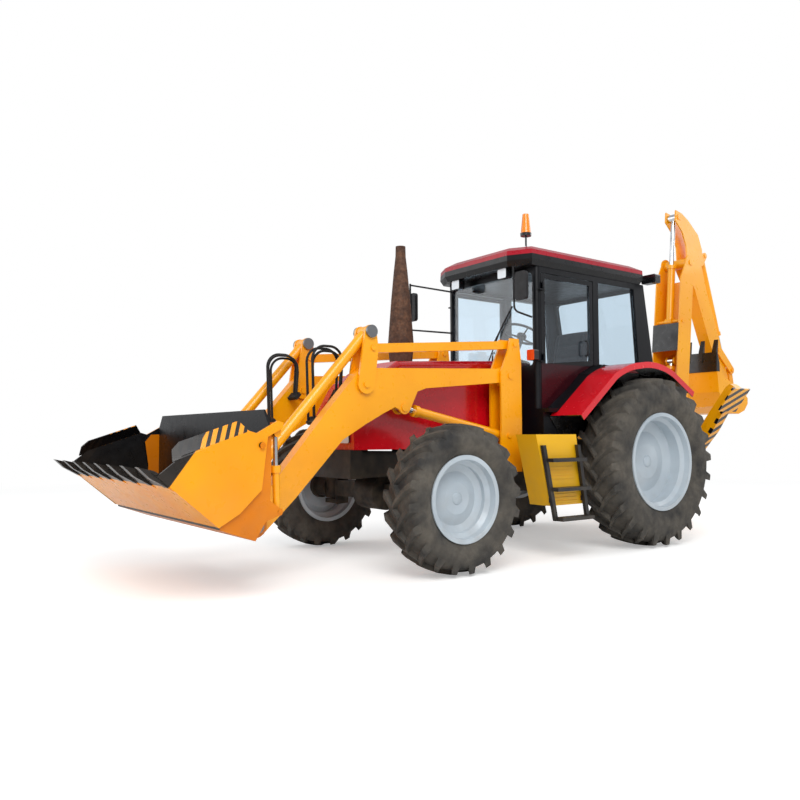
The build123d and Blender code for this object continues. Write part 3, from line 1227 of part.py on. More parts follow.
ROCKER_YS = (STICK_HALF + SIDE_GAP + 10, -STICK_HALF - SIDE_GAP - 10)
with BuildPart() as hoe_rocker:
    add(hull_plates(((HOE_ROCKER_PIVOT, 52), (HOE_ROCKER_END, 48)), (), ROCKER_YS, 20))
    add(disc(0, HOE_ROCKER_PIVOT, PIN_BIG, 2 * ROCKER_YS[0] + 40))
    for s in (1, -1):
        add(disc(s * (ROCKER_YS[0] - 8), HOE_ROCKER_END, PIN_MID, 66))
finish(hoe_rocker, "hoe_rocker")

with BuildPart() as hoe_link:
    add(hull_plates(((HOE_ROCKER_END, 42), (HOE_LINK_PIN, 36)), ((HOE_ROCKER_END, PIN_MID + PIN_FIT),),
                    (STICK_HALF - 12, 12 - STICK_HALF), 24))
    add(disc(0, away(HOE_LINK_PIN, HOE_ROCKER_END, 190), 26, STICK_W - 10))
finish(hoe_link, "hoe_link")

HOE_HALF = HOE_BUCKET_W / 2
with BuildPart() as hoe_bucket:
    shell = (
        (X0 - 2352, 2045), (X0 - 2338, 2045), (X0 - 2328, 1810), (X0 - 2356, 1560), (X0 - 2450, 1390),
        (X0 - 2600, 1310), (X0 - 2780, 1300), (X0 - 2920, 1345), (X0 - 3000, 1430), (X0 - 3002, 1500),
        (X0 - 2950, 1545), (X0 - 2941, 1533), (X0 - 2988, 1492), (X0 - 2986, 1436), (X0 - 2914, 1359),
        (X0 - 2779, 1315), (X0 - 2604, 1325), (X0 - 2461, 1401), (X0 - 2370, 1565), (X0 - 2342, 1811),
    )
    add(plates(shell, (), (), (0,), HOE_BUCKET_W))
    cheek = (
        (X0 - 2348, 2040), (X0 - 2332, 1810), (X0 - 2360, 1561), (X0 - 2452, 1393), (X0 - 2601, 1314),
        (X0 - 2780, 1304), (X0 - 2918, 1349), (X0 - 2996, 1432), (X0 - 2998, 1498), (X0 - 2950, 1540),
        (X0 - 2860, 1590), (X0 - 2480, 1750), (X0 - 2400, 1850),
    )
    add(plates(cheek, (), (), (HOE_HALF - 8, 8 - HOE_HALF), 16))
    # cutting edge and teeth
    edge = ((X0 - 2330, 1810), (X0 - 2316, 1812), (X0 - 2326, 2045), (X0 - 2342, 2045))
    add(plates(edge, (), (), (0,), HOE_BUCKET_W))
    tooth = ((X0 - 2310, 1930), (X0 - 2324, 2060), (X0 - 2380, 2200), (X0 - 2366, 2060), (X0 - 2350, 1930))
    add(plates(tooth, (), (), [(-1.5 + k) * (HOE_BUCKET_W - 70) / 3 for k in range(4)], 56))
    # hinge ears
    ears = ((X0 - 2990, 1640), (X0 - 2880, 1650), (X0 - 2800, 1312), (X0 - 2918, 1350), (X0 - 2998, 1438),
            (X0 - 3075, 1388), (X0 - 3115, 1440), (X0 - 3040, 1560))
    ear_y = STICK_HALF + SIDE_GAP + 10
    add(plates(ears, ((STICK_TIP, 58), (HOE_LINK_PIN, 46)), (), (ear_y, -ear_y), 20))
    add(disc(0, STICK_TIP, PIN_BIG, 2 * ear_y + 40))
finish(hoe_bucket, "hoe_bucket")

HOE_RAMS = (
    # name, base pin, rod eye, retract, extend, bore, wall, eye radius, base eye width, rod eye width, pin
    ("boom", BOOM_RAM_BASE, BOOM_RAM_EYE, 0.0, 690.0, 28.0, 16.0, 44.0, 90.0, 66.0, PIN_MID),
    ("stick", STICK_RAM_BASE, HORN_TIP, 520.0, 0.0, 28.0, 16.0, 46.0, 90.0, 104.0, PIN_MID),
    ("hoe", HOE_RAM_BASE, HOE_ROCKER_END, 400.0, 0.0, 24.0, 14.0, 38.0, 78.0, 86.0, PIN_MID),
)
for name, p, q, retract, extend, bore, wall, eye_r, base_w, rod_w, pin_r in HOE_RAMS:
    with BuildPart() as barrel:
        add(ram_barrel(side_plane(0), p, q, retract, extend, bore, wall, eye_r, base_w, pin_r))
    finish(barrel, name + "_barrel")
    with BuildPart() as rod:
        add(ram_rod(side_plane(0), p, q, retract, extend, bore, eye_r, rod_w))
    finish(rod, name + "_rod")

# ------------------------------------------------------------------ stabiliser legs
with BuildPart() as leg_one:
    u = away((0, 0), (LEG_END[0] - LEG_PIVOT[0], LEG_END[1] - LEG_PIVOT[1]), 1)
    n = (u[1], -u[0])
    reach = hypot(LEG_END[0] - LEG_PIVOT[0], LEG_END[1] - LEG_PIVOT[1])
    leg_edge = [
        (LEG_PIVOT[0] + u[0] * a + n[0] * b, LEG_PIVOT[1] + u[1] * a + n[1] * b)
        for a, b in ((0, -62), (reach - 40, -50), (reach + 20, -30), (reach + 20, 50), (reach * 0.45, 88), (0, 62))
    ]
    add(plates(leg_edge, ((LEG_PIVOT, 66),), (), (LEG_X,), LEG_W, rear_plane))
    # foot plate folded along the outside of the leg's end
    foot = [
        (LEG_PIVOT[0] + u[0] * a + n[0] * b, LEG_PIVOT[1] + u[1] * a + n[1] * b)
        for a, b in ((reach - 250, 64), (reach + 30, 64), (reach + 30, 80), (reach - 250, 80))
    ]
    add(plates(foot, (), (), (LEG_X,), 320, rear_plane))
    add(hull_plates(((LEG_PIVOT, 60), (LEG_RAM_EYE, 42)), (), (LEG_X + 40, LEG_X - 40), 20, rear_plane))
    for d in (55, -55):
        with BuildSketch(rear_plane(LEG_X + d)):
            with Locations(LEG_RAM_EYE):
                Circle(30)
        extrude(amount=5, both=True)
    # channel the ram's rod swings through
    raised = degrees(atan2(LEG_RAM_BASE[1] - LEG_RAM_EYE[1], LEG_RAM_BASE[0] - LEG_RAM_EYE[0]))
    with BuildSketch(rear_plane(LEG_X)):
        with Locations(LEG_RAM_EYE):
            Circle(104)
        with BuildLine():
            Polyline(*[
                (
                    LEG_RAM_EYE[0] + r * cos(radians(a)) + 27 * cos(radians(side)),
                    LEG_RAM_EYE[1] + r * sin(radians(a)) + 27 * sin(radians(side)),
                )
                for r, a, side in (
                    (0, raised, raised - 90),
                    (420, raised, raised - 90),
                    (420, raised + LEG_SWEEP, raised + LEG_SWEEP + 90),
                    (0, raised + LEG_SWEEP, raised + LEG_SWEEP + 90),
                )
            ], close=True)
        make_face()
    extrude(amount=30, both=True, mode=Mode.SUBTRACT)
    with BuildSketch(rear_plane(LEG_X)):
        with Locations(LEG_PIVOT):
            Circle(PIN_BIG + PIN_FIT)
    extrude(amount=LEG_W, both=True, mode=Mode.SUBTRACT)
leg_barrel = ram_barrel(rear_plane(LEG_X), LEG_RAM_BASE, LEG_RAM_EYE, 0, 300, 22, 12, 36, 90, PIN_MID)
leg_rod = ram_rod(rear_plane(LEG_X), LEG_RAM_BASE, LEG_RAM_EYE, 0, 300, 22, 36, 46)
for name, piece in (("leg", leg_one.part), ("leg_barrel", leg_barrel), ("leg_rod", leg_rod)):
    for hand in ("left", "right"):
        with BuildPart() as sided:
            add(piece if hand == "left" else mirrored(piece))
        finish(sided, name + "_" + hand)
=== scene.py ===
"""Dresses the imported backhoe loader: enamel, rubber, glass and chrome finishes,
farm tyres with curved lugs, wheel bolts, panes and the small fittings of cab,
loader and digging arm.  Metres, +X forward, +Y to the machine's left, ground at z = 0.
"""

from math import cos, pi, radians, sin

import bpy
import numpy as np
from mathutils import Matrix, Vector


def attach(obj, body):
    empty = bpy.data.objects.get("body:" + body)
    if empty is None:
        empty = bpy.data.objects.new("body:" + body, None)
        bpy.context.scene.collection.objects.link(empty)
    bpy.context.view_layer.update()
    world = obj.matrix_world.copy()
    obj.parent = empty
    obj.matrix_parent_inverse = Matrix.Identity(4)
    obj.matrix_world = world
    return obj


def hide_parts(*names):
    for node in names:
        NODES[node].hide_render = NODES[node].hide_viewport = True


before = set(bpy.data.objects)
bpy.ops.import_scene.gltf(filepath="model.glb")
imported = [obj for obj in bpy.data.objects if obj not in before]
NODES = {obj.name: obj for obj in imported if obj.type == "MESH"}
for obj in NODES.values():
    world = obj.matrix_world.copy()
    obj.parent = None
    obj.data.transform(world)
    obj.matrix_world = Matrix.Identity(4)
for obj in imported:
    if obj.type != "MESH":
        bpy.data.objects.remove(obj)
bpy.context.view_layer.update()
REAR_X = -0.870            # rear axle
FRONT_X = REAR_X + 2.450   # front axle
REAR_R, FRONT_R = 0.793, 0.568
FORWARD, BACKWARD, LEFT, RIGHT = (1, 0, 0), (-1, 0, 0), (0, 1, 0), (0, -1, 0)
UP, DOWN = (0, 0, 1), (0, 0, -1)
SIDES = (("left", 1), ("right", -1))


# ---------------------------------------------------------------- materials
def linear(code):
    """An sRGB hex value as linear RGBA."""
    rgb = np.array([int(code[i:i + 2], 16) for i in (1, 3, 5)]) / 255.0
    rgb = np.where(rgb <= 0.04045, rgb / 12.92, ((rgb + 0.055) / 1.055) ** 2.4)
    return (*rgb.tolist(), 1.0)


def add(tree, kind, feeds=(), **settings):
    """Add one node: settings are its attributes, feeds its inputs by name or order,
    each a value or another node's output."""
    node = tree.nodes.new(kind)
    for key, value in settings.items():
        setattr(node, key, value)
    for key, value in feeds.items() if isinstance(feeds, dict) else enumerate(feeds):
        if isinstance(value, bpy.types.NodeSocket):
            tree.links.new(value, node.inputs[key])
        elif value is not None:
            node.inputs[key].default_value = value
    return node


def blank(name):
    """An empty material with its tree and the object coordinates."""
    material = bpy.data.materials.new(name)
    material.use_nodes = True
    tree = material.node_tree
    tree.nodes.clear()
    return material, tree, add(tree, "ShaderNodeTexCoord").outputs["Object"]


def calc(tree, operation, *values):
    """The result of one maths node."""
    return add(tree, "ShaderNodeMath", values, operation=operation).outputs[0]


def reach_along(tree, place, direction):
    """The scalar product of a place and a direction."""
    return add(tree, "ShaderNodeVectorMath", (place, direction),
               operation="DOT_PRODUCT").outputs["Value"]


def beyond(tree, place, direction, limit, soft=0.002):
    """Mask: 1 where the place's reach along a direction is past the limit; soft is
    half the width of the change from 0 to 1."""
    return add(tree, "ShaderNodeMapRange", {
        "Value": reach_along(tree, place, direction),
        "From Min": limit - soft, "From Max": limit + soft}).outputs[0]


def both(tree, *masks):
    """Mask: the product of masks."""
    out = masks[0]
    for mask in masks[1:]:
        out = calc(tree, "MULTIPLY", out, mask)
    return out


def between(tree, place, direction, low, high):
    """Mask: 1 where the place's reach along a direction is between two limits."""
    opposite = tuple(-c for c in direction)
    return both(tree, beyond(tree, place, direction, low), beyond(tree, place, opposite, -high))


def stripes(tree, place, direction, pitch, share=0.5, start=0.0):
    """Mask: bars that fill a share of each pitch in metres along a direction."""
    reach = reach_along(tree, place, direction)
    turn = calc(tree, "MULTIPLY_ADD", reach, 1 / pitch, start / pitch)
    return calc(tree, "LESS_THAN", calc(tree, "FRACT", turn), share)


def over(tree, mask, under, colour):
    """The colour laid over another where the mask is 1."""
    mix = add(tree, "ShaderNodeMix", {"Factor": mask}, data_type="RGBA")
    for key, value in ((6, under), (7, colour)):
        if isinstance(value, bpy.types.NodeSocket):
            tree.links.new(value, mix.inputs[key])
        else:
            mix.inputs[key].default_value = value
    return mix.outputs[2]


def grain(tree, place, size, detail=3.0, low=0.0, high=1.0, distort=0.0):
    """Noise with features of a real size in metres, stretched between two levels."""
    noise = add(tree, "ShaderNodeTexNoise", {"Vector": place, "Scale": 1 / size, "Detail": detail,
                                             "Distortion": distort})
    return add(tree, "ShaderNodeMapRange", {"Value": noise.outputs[0], "From Min": 0.3, "From Max": 0.7,
                                            "To Min": low, "To Max": high}).outputs[0]


def close(tree, colour, rough, relief, depth, **fixed):
    """Bump, shader and output; fixed values go straight onto the shader's sockets."""
    bump = add(tree, "ShaderNodeBump", {"Strength": 1.0, "Distance": depth, "Height": relief})
    feeds = {"Base Color": colour, "Roughness": rough, "Normal": bump.outputs[0]}
    feeds.update({key.replace("_", " "): value for key, value in fixed.items()})
    shader = add(tree, "ShaderNodeBsdfPrincipled", feeds)
    add(tree, "ShaderNodeOutputMaterial", {"Surface": shader.outputs[0]})


def enamel(name, base, shade, rough=0.3, coat=0.35, dust=0.25, peel=0.004, bands=(), shine=0.5):
    """Sprayed enamel on steel plate: an even gloss with orange peel a few
    millimetres across, a slow drift of tone and dust that settles low down.
    bands are functions that give (mask, colour) for painted areas."""
    material, tree, place = blank(name)
    colour = over(tree, grain(tree, place, 0.5, 2.0), linear(base), linear(shade))
    for band in bands:
        mask, paint = band(tree, place)
        colour = over(tree, mask, colour, paint)
    low = beyond(tree, place, DOWN, -DUST_Z, DUST_FADE)
    dirt = both(tree, low, grain(tree, place, 0.11, 5.0, 0.0, dust))
    colour = over(tree, dirt, colour, SOIL)
    sheen = grain(tree, place, 0.06, 4.0, rough - 0.05, rough + 0.09)
    relief = grain(tree, place, peel, 1.0)
    close(tree, colour, sheen, relief, PEEL_DEPTH, Coat_Weight=coat, Coat_Roughness=0.08,
          Specular_IOR_Level=shine)
    return material


def either(tree, one, other):
    """Mask: where one mask or the other is."""
    return calc(tree, "MAXIMUM", one, other)


def absolute_y(tree, place):
    """Distance from the machine's middle plane."""
    width = add(tree, "ShaderNodeSeparateXYZ", (place,)).outputs[1]
    return calc(tree, "ABSOLUTE", width)


def inner_faces(tree, place):
    """Mask: faces that look towards the machine's middle plane."""
    facing = add(tree, "ShaderNodeTexCoord").outputs["Normal"]
    side = add(tree, "ShaderNodeSeparateXYZ", (place,)).outputs[1]
    sign = calc(tree, "SIGN", side)
    across = add(tree, "ShaderNodeSeparateXYZ", (facing,)).outputs[1]
    return calc(tree, "LESS_THAN", calc(tree, "MULTIPLY", sign, across), -0.5)


def facing_mask(tree, direction, limit=0.2):
    """Mask: faces whose own normal leans along a direction."""
    facing = add(tree, "ShaderNodeTexCoord").outputs["Normal"]
    return beyond(tree, facing, direction, limit, 0.05)


def outboard(tree, place, reach):
    """Mask: further than reach from the middle plane, on either side."""
    return either(tree, beyond(tree, place, LEFT, reach), beyond(tree, place, RIGHT, reach))


BLACK_PAINT, HAZARD_BLACK, SOOTY = linear("#0E0E10"), linear("#0C0C0E"), linear("#08080B")
SOIL = linear("#7C6C57")
DUST_Z, DUST_FADE = 0.55, 0.5    # dust is half gone at this height and fades over this either side
PEEL_DEPTH = 0.00006             # relief of sprayed enamel

# limits of the painted areas, in metres from the origin
BEACON_DOME_Z = 2.9125                     # top of the beacon's dark base
SIGNAL_LOW, SIGNAL_HIGH = 1.60, 1.90       # height band of the turn signals
SIGNAL_REAR, SIGNAL_FRONT = 0.20, 0.60     # and their band along the machine
HEADLIGHT_X, ROOF_LAMP_Z = 1.90, 2.45      # headlights lie ahead of, roof lamps above these
CAB_AHEAD_X, WORK_LAMP_X = 0.2, 1.30       # all of them ahead of one, work lamps behind the other
LAMP_TOP_Z = 2.79                          # everything above is beacon
JAW_SIDE_Y, JAW_FLANGE_Y = 0.90, 0.94      # inboard limits of the jaw's sides and flanges
JAW_FLOOR_X = REAR_X + 4.34                # the jaw's floor lies ahead of this
FLANGE_START = Vector((REAR_X + 4.593, 0, 0.931))    # front end of the jaw side's folded flange
FLANGE_RUN, FLANGE_UP = Vector((-0.9473, 0, 0.3202)), Vector((0.3202, 0, 0.9473))
FLANGE_LENGTH, FLANGE_BAR = 0.46, 0.064    # and the pitch of its bars
EDGE_DIRECTION = (0.80, 0, 0.60)           # out over the jaw's lip
EDGE_START = (REAR_X + 4.675) * 0.80 + 0.742 * 0.60  # where the cutting edge starts that way
LEG_OUT, LEG_ALONG = (0, 0.809, -0.587), Vector((0, 0.587, 0.809))    # square to a leg, and up it
LEG_FACE, LEG_BAR = 0.095, 0.12            # the foot's outer face, and the pitch of its bars
HOE_LIP_Z, HOE_LIP_X = 1.808, REAR_X - 2.385         # the lip lies above and ahead of these
GUARD_X, GUARD_LOW, GUARD_HIGH = REAR_X - 1.765, 2.038, 2.372
ROOF_SHELL_Z, DOOR_PANEL_Z = 2.69, 1.70    # foot of the crimson shell, top of the lower door panels with the painted maroon reflection
ARCH_Y, ARCH_Z = 0.70, 1.66                # a fender's inner arch lies inside and below these
LOCKER_INNER_Y, LOCKER_OUTER_Y = 0.755, 0.9975


def beacon_amber(tree, place):
    """The beacon's dome above its dark base."""
    return beyond(tree, place, UP, BEACON_DOME_Z), linear("#F48A12")


def turn_signal(tree, place):
    """Orange-red turn signals on the cab's front posts."""
    height = between(tree, place, UP, SIGNAL_LOW, SIGNAL_HIGH)
    along = between(tree, place, FORWARD, SIGNAL_REAR, SIGNAL_FRONT)
    return both(tree, height, facing_mask(tree, FORWARD, 0.1), along), linear("#E8481A")


def lamp_glass(tree, place):
    """Pale lenses on the forward faces of headlights and roof lamps and the rear
    faces of the work lamps."""
    ahead = either(tree, beyond(tree, place, FORWARD, HEADLIGHT_X),
                   beyond(tree, place, UP, ROOF_LAMP_Z))
    front = both(tree, facing_mask(tree, FORWARD, 0.6),
                 beyond(tree, place, FORWARD, CAB_AHEAD_X), ahead)
    back = both(tree, facing_mask(tree, BACKWARD, 0.6),
                beyond(tree, place, BACKWARD, WORK_LAMP_X))
    below_beacon = beyond(tree, place, DOWN, -LAMP_TOP_Z)
    return both(tree, either(tree, front, back), below_beacon), linear("#D7E0E6")


def jaw_inside(tree, place):
    """The jaw is black on the faces that hold the load."""
    sides = both(tree, inner_faces(tree, place), outboard(tree, place, JAW_SIDE_Y))
    floor_up = both(tree, facing_mask(tree, (-0.62, 0, 0.78), 0.7),
                    beyond(tree, place, FORWARD, JAW_FLOOR_X))
    return either(tree, sides, floor_up), BLACK_PAINT


def jaw_edge(tree, place):
    """Dark cutting edge and teeth along the lip."""
    return beyond(tree, place, EDGE_DIRECTION, EDGE_START), linear("#1C1714")


def jaw_hazard(tree, place):
    """Slanted warning bars on the folded flange of the jaw's sides."""
    start = FLANGE_RUN.dot(FLANGE_START)
    above = beyond(tree, place, tuple(FLANGE_UP), FLANGE_UP.dot(FLANGE_START) - 0.001)
    along = between(tree, place, tuple(FLANGE_RUN), start - 0.01, start + FLANGE_LENGTH)
    bars = stripes(tree, place, tuple(FLANGE_RUN - FLANGE_UP * 0.9), FLANGE_BAR, 0.45, 0.02)
    return both(tree, above, along, outboard(tree, place, JAW_FLANGE_Y), bars), HAZARD_BLACK


def wall_front(tree, place):
    """The mouldboard is black in front."""
    return facing_mask(tree, (0.8, 0, 0.6), 0.25), BLACK_PAINT


def leg_hazard(tree, place):
    """Warning bars down the outer face of a stabiliser leg's foot."""
    side = add(tree, "ShaderNodeSeparateXYZ", (place,))
    flat = add(tree, "ShaderNodeCombineXYZ",
               (side.outputs[0], absolute_y(tree, place), side.outputs[2])).outputs[0]
    bars = stripes(tree, flat, tuple(LEG_ALONG + Vector((0.7, 0, 0))), LEG_BAR, 0.5)
    return both(tree, beyond(tree, flat, LEG_OUT, LEG_FACE), bars), HAZARD_BLACK


def hoe_lip(tree, place):
    """Blackened lip and teeth of the digging bucket, worn by soil."""
    high = beyond(tree, place, UP, HOE_LIP_Z)
    return both(tree, high, beyond(tree, place, FORWARD, HOE_LIP_X)), linear("#141110")


def boom_guard(tree, place):
    """Black guard plate on the front of the boom."""
    front = both(tree, facing_mask(tree, FORWARD, 0.7), beyond(tree, place, FORWARD, GUARD_X))
    return both(tree, front, between(tree, place, UP, GUARD_LOW, GUARD_HIGH)), BLACK_PAINT


def roof_underside(tree, place):
    """Black skirt of the roof below the crimson shell."""
    return beyond(tree, place, DOWN, -ROOF_SHELL_Z), SOOTY


def fender_shade_and_arch(tree, place):
    """Fenders are black on their downward faces, a painted shade under the skin, and black on the inner
    arch.
    """
    # painted shade: faces turned down are black, for the shadow under the fender skin
    under = facing_mask(tree, DOWN, 0.25)
    near = calc(tree, "LESS_THAN", absolute_y(tree, place), ARCH_Y)
    return either(tree, under, both(tree, beyond(tree, place, DOWN, -ARCH_Z), near)), BLACK_PAINT


def locker_yellow(tree, place):
    """The locker behind the ladder is yellow."""
    wide = absolute_y(tree, place)
    inside = calc(tree, "LESS_THAN", wide, LOCKER_OUTER_Y)
    clear = calc(tree, "GREATER_THAN", wide, LOCKER_INNER_Y)
    return both(tree, inside, clear), linear("#F2B705")


def door_fender_reflection(tree, place):
    """Lower door panels and sills are dark, with the red fenders' reflection painted on them as a
    maroon gloss.
    """
    # painted reflection: the maroon stands for the red fenders mirrored in the dark lower door
    return beyond(tree, place, DOWN, -DOOR_PANEL_Z), linear("#32060F")


loader_paint = enamel("loader_enamel", "#FFAE00", "#F9A200", coat=0.25)
hoe_paint = enamel("hoe_enamel", "#FFB000", "#F9A400", coat=0.25)
hoe_bucket_paint = enamel("hoe_bucket_enamel", "#FFB000", "#F9A400", coat=0.2, bands=(hoe_lip,))
boom_paint = enamel("boom_enamel", "#FFB000", "#F9A400", coat=0.25, bands=(boom_guard,))
jaw_paint = enamel("jaw_enamel", "#FFA600", "#F59600", coat=0.1, shine=0.35,
                   bands=(jaw_inside, jaw_edge, jaw_hazard))
# painted shade: the mouldboard's orange is darker than the jaw's, for the shadow it lies in behind the
# jaw
shaded_mouldboard_paint = enamel("mouldboard_enamel_painted_shade", "#E88600", "#CF7000", coat=0.0, shine=0.3,
                    bands=(wall_front,))
leg_paint = enamel("leg_enamel", "#FFB000", "#F9A400", coat=0.2, bands=(leg_hazard,))
bonnet_paint = enamel("bonnet_enamel", "#D80A1C", "#C00818", rough=0.22, coat=0.6, dust=0.15)
roof_paint = enamel("roof_enamel", "#B00E26", "#9A0A20", rough=0.3, coat=0.15, shine=0.3,
                    bands=(roof_underside,))
fender_paint = enamel("fender_enamel_with_painted_shade", "#E0081C", "#CC0618", rough=0.2, coat=0.7, dust=0.1,
                      bands=(fender_shade_and_arch,))
cab_paint = enamel("cab_powder_coat", "#0B0C12", "#07080C", rough=0.34, coat=0.0, dust=0.12, shine=0.3)
# the band below DOOR_PANEL_Z is a painted reflection of the red fenders
door_paint = enamel("door_powder_coat", "#0B0C12", "#07080C", rough=0.2, coat=0.15, dust=0.1,
                    shine=0.35, bands=(door_fender_reflection,))
frame_paint = enamel("chassis_paint", "#121214", "#1B1916", rough=0.5, coat=0.0, dust=0.5, shine=0.3)
step_paint = enamel("step_paint", "#19191B", "#222020", rough=0.45, coat=0.1, dust=0.3,
                    bands=(locker_yellow,))
casting_paint = enamel("casting_paint", "#211D1B", "#141211", rough=0.6, coat=0.0, dust=0.6,
                       shine=0.3)
rim_paint = enamel("rim_enamel", "#C3CDD4", "#AAB6BF", rough=0.35, coat=0.25, dust=0.3)


def rubber(name, base, dust_colour, dust):
    """Vulcanised tyre rubber: matt, grey-black, with dry soil in the low places
    and a moulded skin with pores about 3 mm apart."""
    material, tree, place = blank(name)
    colour = over(tree, grain(tree, place, 0.18, 6.0, 0.0, dust), linear(base), linear(dust_colour))
    colour = over(tree, grain(tree, place, 0.03, 4.0, 0.0, 0.25), colour, linear("#171615"))
    close(tree, colour, grain(tree, place, 0.05, 3.0, 0.72, 0.9), grain(tree, place, 0.006, 4.0),
          0.0009)
    return material


tyre_rubber = rubber("tyre_rubber", "#2B2A29", "#6E675C", 0.75)
hose_rubber = rubber("hose_rubber", "#161617", "#34322F", 0.4)


def plated(name, base, rough, brushed):
    """Turned and plated or bare steel: bright, with fine lathe marks round the axis."""
    material, tree, place = blank(name)
    colour = over(tree, grain(tree, place, 0.08, 3.0, 0.0, 0.5), linear(base), linear("#8F9194"))
    close(tree, colour, grain(tree, place, 0.02, 5.0, rough, rough + brushed),
          grain(tree, place, 0.002, 1.0), 0.00002, Metallic=1.0)
    return material


chrome = plated("hard_chrome", "#E6E9EC", 0.06, 0.1)
pin_steel = plated("turned_steel", "#8A8B8D", 0.3, 0.2)


def rust_metal():
    """Heat-browned exhaust stack: flaky oxide in blotches 20 to 80 mm across."""
    material, tree, place = blank("heat_rusted_steel")
    blotches = grain(tree, place, 0.08, 6.0, 0.0, 1.0, 0.6)
    colour = over(tree, blotches, linear("#4A3328"), linear("#7A563F"))
    colour = over(tree, grain(tree, place, 0.02, 5.0, 0.0, 0.6), colour, linear("#2C1E18"))
    close(tree, colour, grain(tree, place, 0.03, 4.0, 0.6, 0.9), grain(tree, place, 0.008, 6.0),
          0.0012, Metallic=0.3)
    return material


def glazing():
    """Tinted float glass in a cab pane: clear and flat, a little blue-green."""
    material, tree, place = blank("tinted_glass")
    film = grain(tree, place, 0.4, 4.0, 0.0, 0.012)
    clear = add(tree, "ShaderNodeBsdfTransparent", {"Color": linear("#F1F7FB")})
    gloss = add(tree, "ShaderNodeBsdfGlossy", {"Color": linear("#FFFFFF"), "Roughness": 0.02})
    edge = add(tree, "ShaderNodeLayerWeight", {"Blend": 0.5})
    steep = calc(tree, "POWER", edge.outputs["Facing"], 4.0)
    share = calc(tree, "MULTIPLY_ADD", steep, 0.5, 0.045)
    haze = add(tree, "ShaderNodeBsdfDiffuse", {"Color": linear("#AEC3D2")})
    body = add(tree, "ShaderNodeMixShader", (film, clear.outputs[0], haze.outputs[0]))
    pane = add(tree, "ShaderNodeMixShader", (share, body.outputs[0], gloss.outputs[0]))
    add(tree, "ShaderNodeOutputMaterial", {"Surface": pane.outputs[0]})
    return material


def moulded(name, base, rough=0.5, texture=0.003, depth=0.0002, **fixed):
    """Injection-moulded plastic with a leathery skin a few millimetres across."""
    material, tree, place = blank(name)
    colour = over(tree, grain(tree, place, 0.1, 3.0, 0.0, 0.35), linear(base), linear("#3A3A3C"))
    close(tree, colour, grain(tree, place, 0.02, 3.0, rough - 0.06, rough + 0.06),
          grain(tree, place, texture, 2.0), depth, **fixed)
    return material


def woven(name, base, thread, pitch):
    """Ribbed upholstery cloth: soft and matt, cords a few millimetres apart with a
    lighter thread, worn paler on the crowns."""
    material, tree, place = blank(name)
    wave = add(tree, "ShaderNodeTexWave", {"Vector": place, "Scale": 1 / pitch / 2},
               bands_direction="Y")
    colour = over(tree, wave.outputs[1], linear(base), linear(thread))
    colour = over(tree, grain(tree, place, 0.09, 4.0, 0.0, 0.4), colour, linear("#4A4A4E"))
    close(tree, colour, grain(tree, place, 0.03, 3.0, 0.8, 0.95), wave.outputs[1], 0.0008,
          Sheen_Weight=0.3)
    return material


seat_cloth = woven("seat_cloth", "#1D1E22", "#34363C", 0.006)
stack_rust = rust_metal()
cab_glazing = glazing()
dash_plastic = moulded("dash_plastic", "#14161B", Specular_IOR_Level=0.3)
mirror_plastic = moulded("mirror_plastic", "#0E0E10", 0.45, Specular_IOR_Level=0.3)
lamp_plastic = enamel("lamp_housing", "#101012", "#17171A", rough=0.22, coat=0.5, dust=0.1,
                      bands=(beacon_amber, turn_signal, lamp_glass))
bolt_steel = plated("zinc_plated_bolts", "#B9BCC0", 0.32, 0.15)

FINISHES = {
    loader_paint: ("loader_arms", "loader_towers", "rockers", "levelling_rods",
                   "tilt_barrels", "lift_barrels", "jaw_barrels"),
    hoe_bucket_paint: ("hoe_bucket",),
    boom_paint: ("boom",),
    hoe_paint: ("stick", "hoe_rocker", "hoe_link", "boom_barrel", "stick_barrel", "hoe_barrel",
                "swing_post", "backhoe_frame", "leg_barrel_left", "leg_barrel_right"),
    leg_paint: ("leg_left", "leg_right"),
    jaw_paint: ("bucket_jaw",),
    shaded_mouldboard_paint: ("bucket_back",),
    bonnet_paint: ("hood",),
    roof_paint: ("cab_roof",),
    fender_paint: ("fenders",),
    cab_paint: ("cab_frame", "grille"),
    door_paint: ("door_left", "door_right"),
    frame_paint: ("half_frame",),
    step_paint: ("side_steps",),
    casting_paint: ("drivetrain", "front_axle", "knuckle_left", "knuckle_right"),
    rim_paint: ("front_rim_left", "front_rim_right", "rear_rim_left", "rear_rim_right"),
    chrome: ("tilt_rods", "lift_rods", "jaw_rods", "boom_rod", "stick_rod", "hoe_rod",
             "leg_rod_left", "leg_rod_right"),
    pin_steel: ("bucket_pins", "rocker_pins"),
    stack_rust: ("exhaust",),
    cab_glazing: ("cab_glass",),
    dash_plastic: ("cab_interior",),
    mirror_plastic: ("mirrors",),
    hose_rubber: ("arm_hoses",),
    lamp_plastic: ("lamps",),
}
for material, names in FINISHES.items():
    for name in names:
        slots = NODES[name].data.materials
        if not slots:
            slots.append(material)
        for k in range(len(slots)):
            slots[k] = material


# ---------------------------------------------------------------- surfaces
def surface(name, points, faces, material, body, slot, smooth=True):
    """One mesh piece from a point array and a face array, riding on a body."""
    mesh = bpy.data.meshes.new(name)
    mesh.from_pydata(np.asarray(points, float).reshape(-1, 3).tolist(), [],
                     [list(map(int, face)) for face in faces])
    mesh.update()
    mesh.polygons.foreach_set("use_smooth", [smooth] * len(mesh.polygons))
    mesh.materials.append(material)
    piece = bpy.data.objects.new(name, mesh)
    bpy.context.scene.collection.objects.link(piece)
    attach(piece, body)
    return piece


